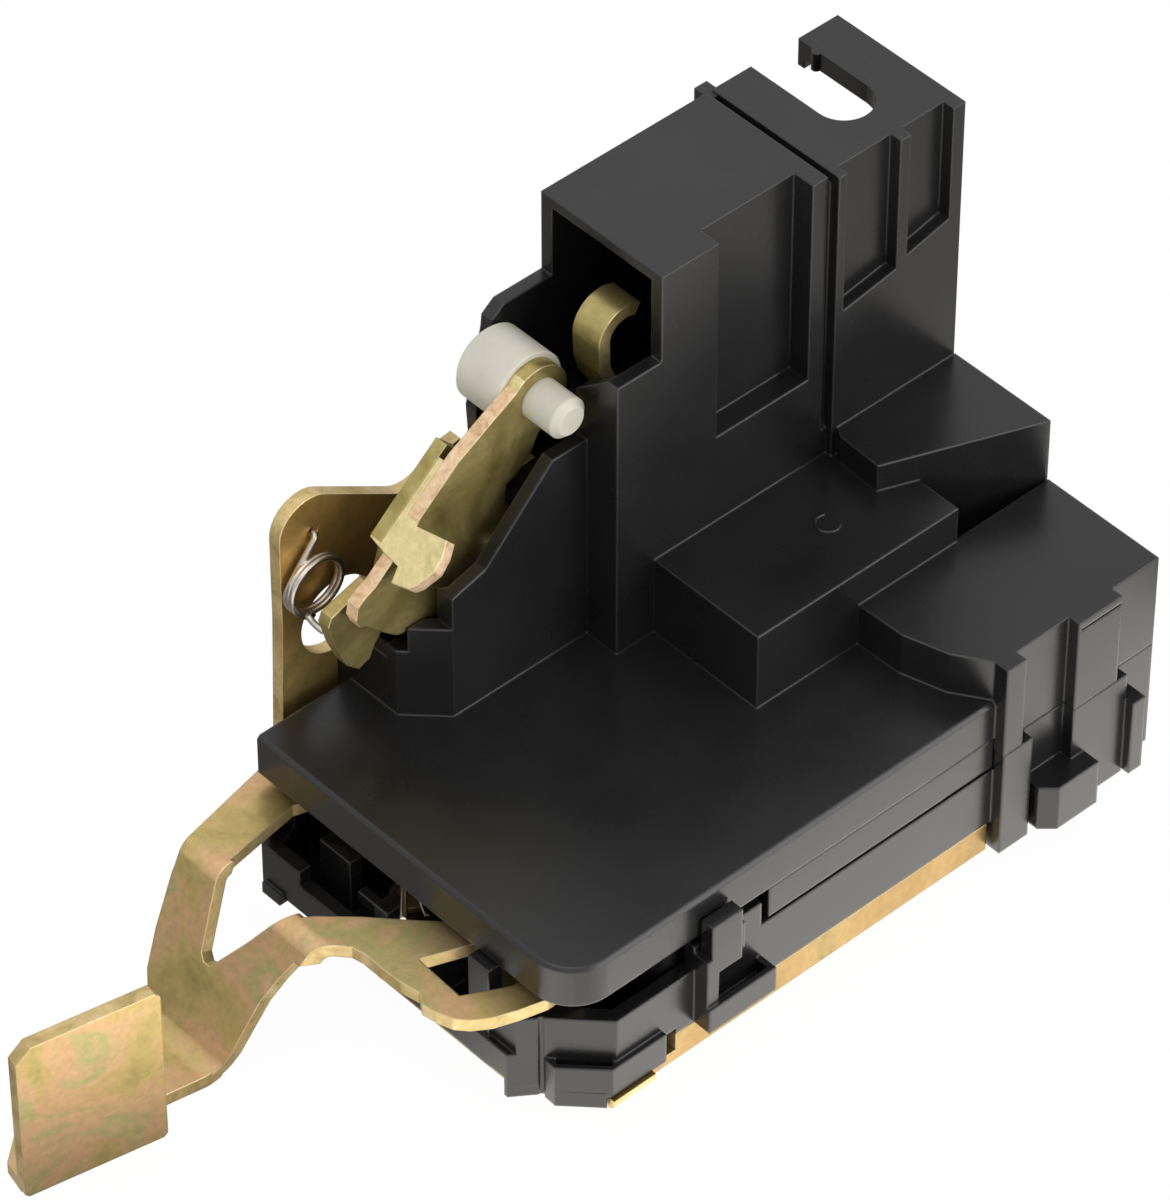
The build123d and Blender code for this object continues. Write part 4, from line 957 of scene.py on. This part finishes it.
# ------------------------------------------------------------------ studio
@dataclass
class Studio:
    """Floor, lamps, world and camera.

    The sheen is what glossy surfaces see of the floor: it rises to the right, falls off again
    further right and at the back, and is brighter than white in between. Sheen spans, the floor's
    level and the camera's place are in millimetres, and the floor's reach and the lamps in metres.
    """

    floor_level: float = -5.3
    sheen_low: float = 0.3
    sheen_gain: float = 2.1
    sheen_rise: Span = (-12.0, 32.0)
    sheen_fall_right: Span = (44.0, 56.0)
    sheen_fall_back: Span = (74.0, 92.0)
    camera_place: Point = (499.7, -476.2, 702.1)
    azimuth: float = 47.6
    elevation: float = 43.8
    lens: float = 222.0
    floor_reach: float = 6.0
    floor_grey: Colour = (0.9, 0.9, 0.9)
    sheen_colour: Colour = (1.0, 0.96, 0.9)
    sheen_right: float = 0.75
    sheen_back: float = 0.3
    floor_white: float = 0.97
    world_grey: Colour = (0.92, 0.92, 0.93)
    lamp_aim: Point = (0.0, -0.02, 0.03)
    lamps: tuple[tuple[str, Point, float, float], ...] = (
        ("right_softbox", (0.75, 0.25, 0.22), 0.7, 5.0),
        ("overhead_softbox", (0.1, -0.35, 1.0), 0.8, 3.0))

    def build_camera(self) -> None:
        """Place the camera at the viewing angle."""
        turn, rise = math.radians(self.azimuth), math.radians(self.elevation)
        right = Vector((math.cos(turn), math.sin(turn), 0.0))
        back = Vector((math.sin(turn) * math.cos(rise), -math.cos(turn) * math.cos(rise), math.sin(rise)))
        up = back.cross(right)
        data = bpy.data.cameras.new("studio_camera")
        data.lens = self.lens
        data.sensor_fit = "VERTICAL"
        data.sensor_height = 36.0
        data.clip_start = 0.01
        data.clip_end = 20.0
        camera = bpy.data.objects.new("studio_camera", data)
        rotation = Matrix((right, up, back)).transposed().to_4x4()
        camera.matrix_world = Matrix.Translation(millimetres(*self.camera_place)) @ rotation
        bpy.context.scene.collection.objects.link(camera)
        bpy.context.scene.camera = camera

    def build_floor(self) -> None:
        """Lay a pale floor that shows almost white, keeps a soft shadow and gives the sheen."""
        mesh = bpy.data.meshes.new("studio_floor")
        half, level = self.floor_reach, self.floor_level * MM
        mesh.from_pydata([(-half, -half, level), (half, -half, level),
                          (half, half, level), (-half, half, level)], [], [(0, 1, 2, 3)])
        floor = bpy.data.objects.new("studio_floor", mesh)
        bpy.context.scene.collection.objects.link(floor)
        material, tree, shader = new_material("pale_floor")
        shader.inputs["Base Color"].default_value = (*self.floor_grey, 1.0)
        shader.inputs["Roughness"].default_value = 0.9
        shader.inputs["Specular IOR Level"].default_value = 0.0
        white = add_node(tree, "Emission", Strength=1.0)
        sheen = add_node(tree, "Emission", Color=(*self.sheen_colour, 1.0))
        sight = add_node(tree, "LightPath")
        share = add_node(tree, "Math", operation="MULTIPLY")
        share.inputs[1].default_value = self.floor_white
        place = add_node(tree, "TexCoord")
        apart = add_node(tree, "SeparateXYZ")
        rise = self._span(tree, self.sheen_rise, self.sheen_low, self.sheen_low + self.sheen_gain)
        fall_right = self._span(tree, self.sheen_fall_right, 1.0, self.sheen_right)
        fall_back = self._span(tree, self.sheen_fall_back, 1.0, self.sheen_back)
        nearer = add_node(tree, "Math", operation="MULTIPLY")
        brightness = add_node(tree, "Math", operation="MULTIPLY")
        mirrored = add_node(tree, "MixShader")
        mix = add_node(tree, "MixShader")
        link = tree.links.new
        link(place.outputs["Object"], apart.inputs[0])
        link(apart.outputs["X"], rise.inputs["Value"])
        link(apart.outputs["X"], fall_right.inputs["Value"])
        link(apart.outputs["Y"], fall_back.inputs["Value"])
        link(rise.outputs["Result"], nearer.inputs[0])
        link(fall_right.outputs["Result"], nearer.inputs[1])
        link(nearer.outputs[0], brightness.inputs[0])
        link(fall_back.outputs["Result"], brightness.inputs[1])
        link(brightness.outputs[0], sheen.inputs["Strength"])
        link(sight.outputs["Is Glossy Ray"], mirrored.inputs["Fac"])
        link(shader.outputs["BSDF"], mirrored.inputs[1])
        link(sheen.outputs["Emission"], mirrored.inputs[2])
        link(sight.outputs["Is Camera Ray"], share.inputs[0])
        link(share.outputs[0], mix.inputs["Fac"])
        link(mirrored.outputs["Shader"], mix.inputs[1])
        link(white.outputs["Emission"], mix.inputs[2])
        link(mix.outputs["Shader"], tree.nodes["Material Output"].inputs["Surface"])
        mesh.materials.append(material)

    def _span(self, tree: bpy.types.NodeTree, span: Span, low: float, high: float) -> bpy.types.Node:
        """Add a smooth step from one value to another.

        Args:
            tree: Node tree that takes the step.
            span: Where the step starts and ends, in millimetres.
            low: Value before the step.
            high: Value after it.

        Returns:
            The step's node.
        """
        return add_node(tree, "MapRange", interpolation_type="SMOOTHSTEP", From_Min=span[0] * MM,
                        From_Max=span[1] * MM, To_Min=low, To_Max=high)

    def build_world(self) -> None:
        """Light the scene softly all round and show white behind the object."""
        world = bpy.data.worlds.new("soft_studio")
        bpy.context.scene.world = world
        world.use_nodes = True
        tree = world.node_tree
        ground = tree.nodes["Background"]
        ground.inputs["Color"].default_value = (*self.world_grey, 1.0)
        ground.inputs["Strength"].default_value = 1.0
        white = add_node(tree, "Background", Color=(1.0, 1.0, 1.0, 1.0), Strength=1.0)
        sight = add_node(tree, "LightPath")
        mix = add_node(tree, "MixShader")
        link = tree.links.new
        link(sight.outputs["Is Camera Ray"], mix.inputs["Fac"])
        link(ground.outputs["Background"], mix.inputs[1])
        link(white.outputs["Background"], mix.inputs[2])
        link(mix.outputs["Shader"], tree.nodes["World Output"].inputs["Surface"])

    def build_lamps(self) -> None:
        """Hang the softboxes."""
        for lamp in self.lamps:
            self._softbox(*lamp)

    def _softbox(self, name: str, place: Point, size: float, power: float) -> None:
        """Hang one square softbox that faces the object.

        Args:
            name: Name of the lamp.
            place: Centre of the softbox in metres.
            size: Side of the square in metres.
            power: Lamp power in watts.
        """
        data = bpy.data.lights.new(name, "AREA")
        data.shape = "SQUARE"
        data.size = size
        data.energy = power
        lamp = bpy.data.objects.new(name, data)
        lamp.location = place
        aim = Vector(self.lamp_aim) - Vector(place)
        lamp.rotation_euler = aim.to_track_quat("-Z", "Y").to_euler()
        bpy.context.scene.collection.objects.link(lamp)


def main() -> None:
    """Dress the actuator and set up the studio."""
    logging.basicConfig(level=logging.INFO, format="%(message)s")
    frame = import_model()
    nodes = frame["nodes"]
    paints = Paintbox()
    bpy.context.scene.view_settings.view_transform = "Standard"

    shell = Shell(nodes)
    shell.dress(paints)
    shell.build_gate_mark(paints)
    LOG.info("shell dressed")
    SheetPieces(nodes).dress(paints)
    LOG.info("sheet pieces plated")
    springs = Springs()
    springs.build_toggle(paints)
    springs.build_return(paints)
    LOG.info("springs wound")
    Drive(nodes).dress(paints)
    LOG.info("drive dressed")

    studio = Studio()
    studio.build_camera()
    studio.build_floor()
    studio.build_world()
    studio.build_lamps()
    LOG.info("studio ready")


if __name__ == "__main__":
    main()
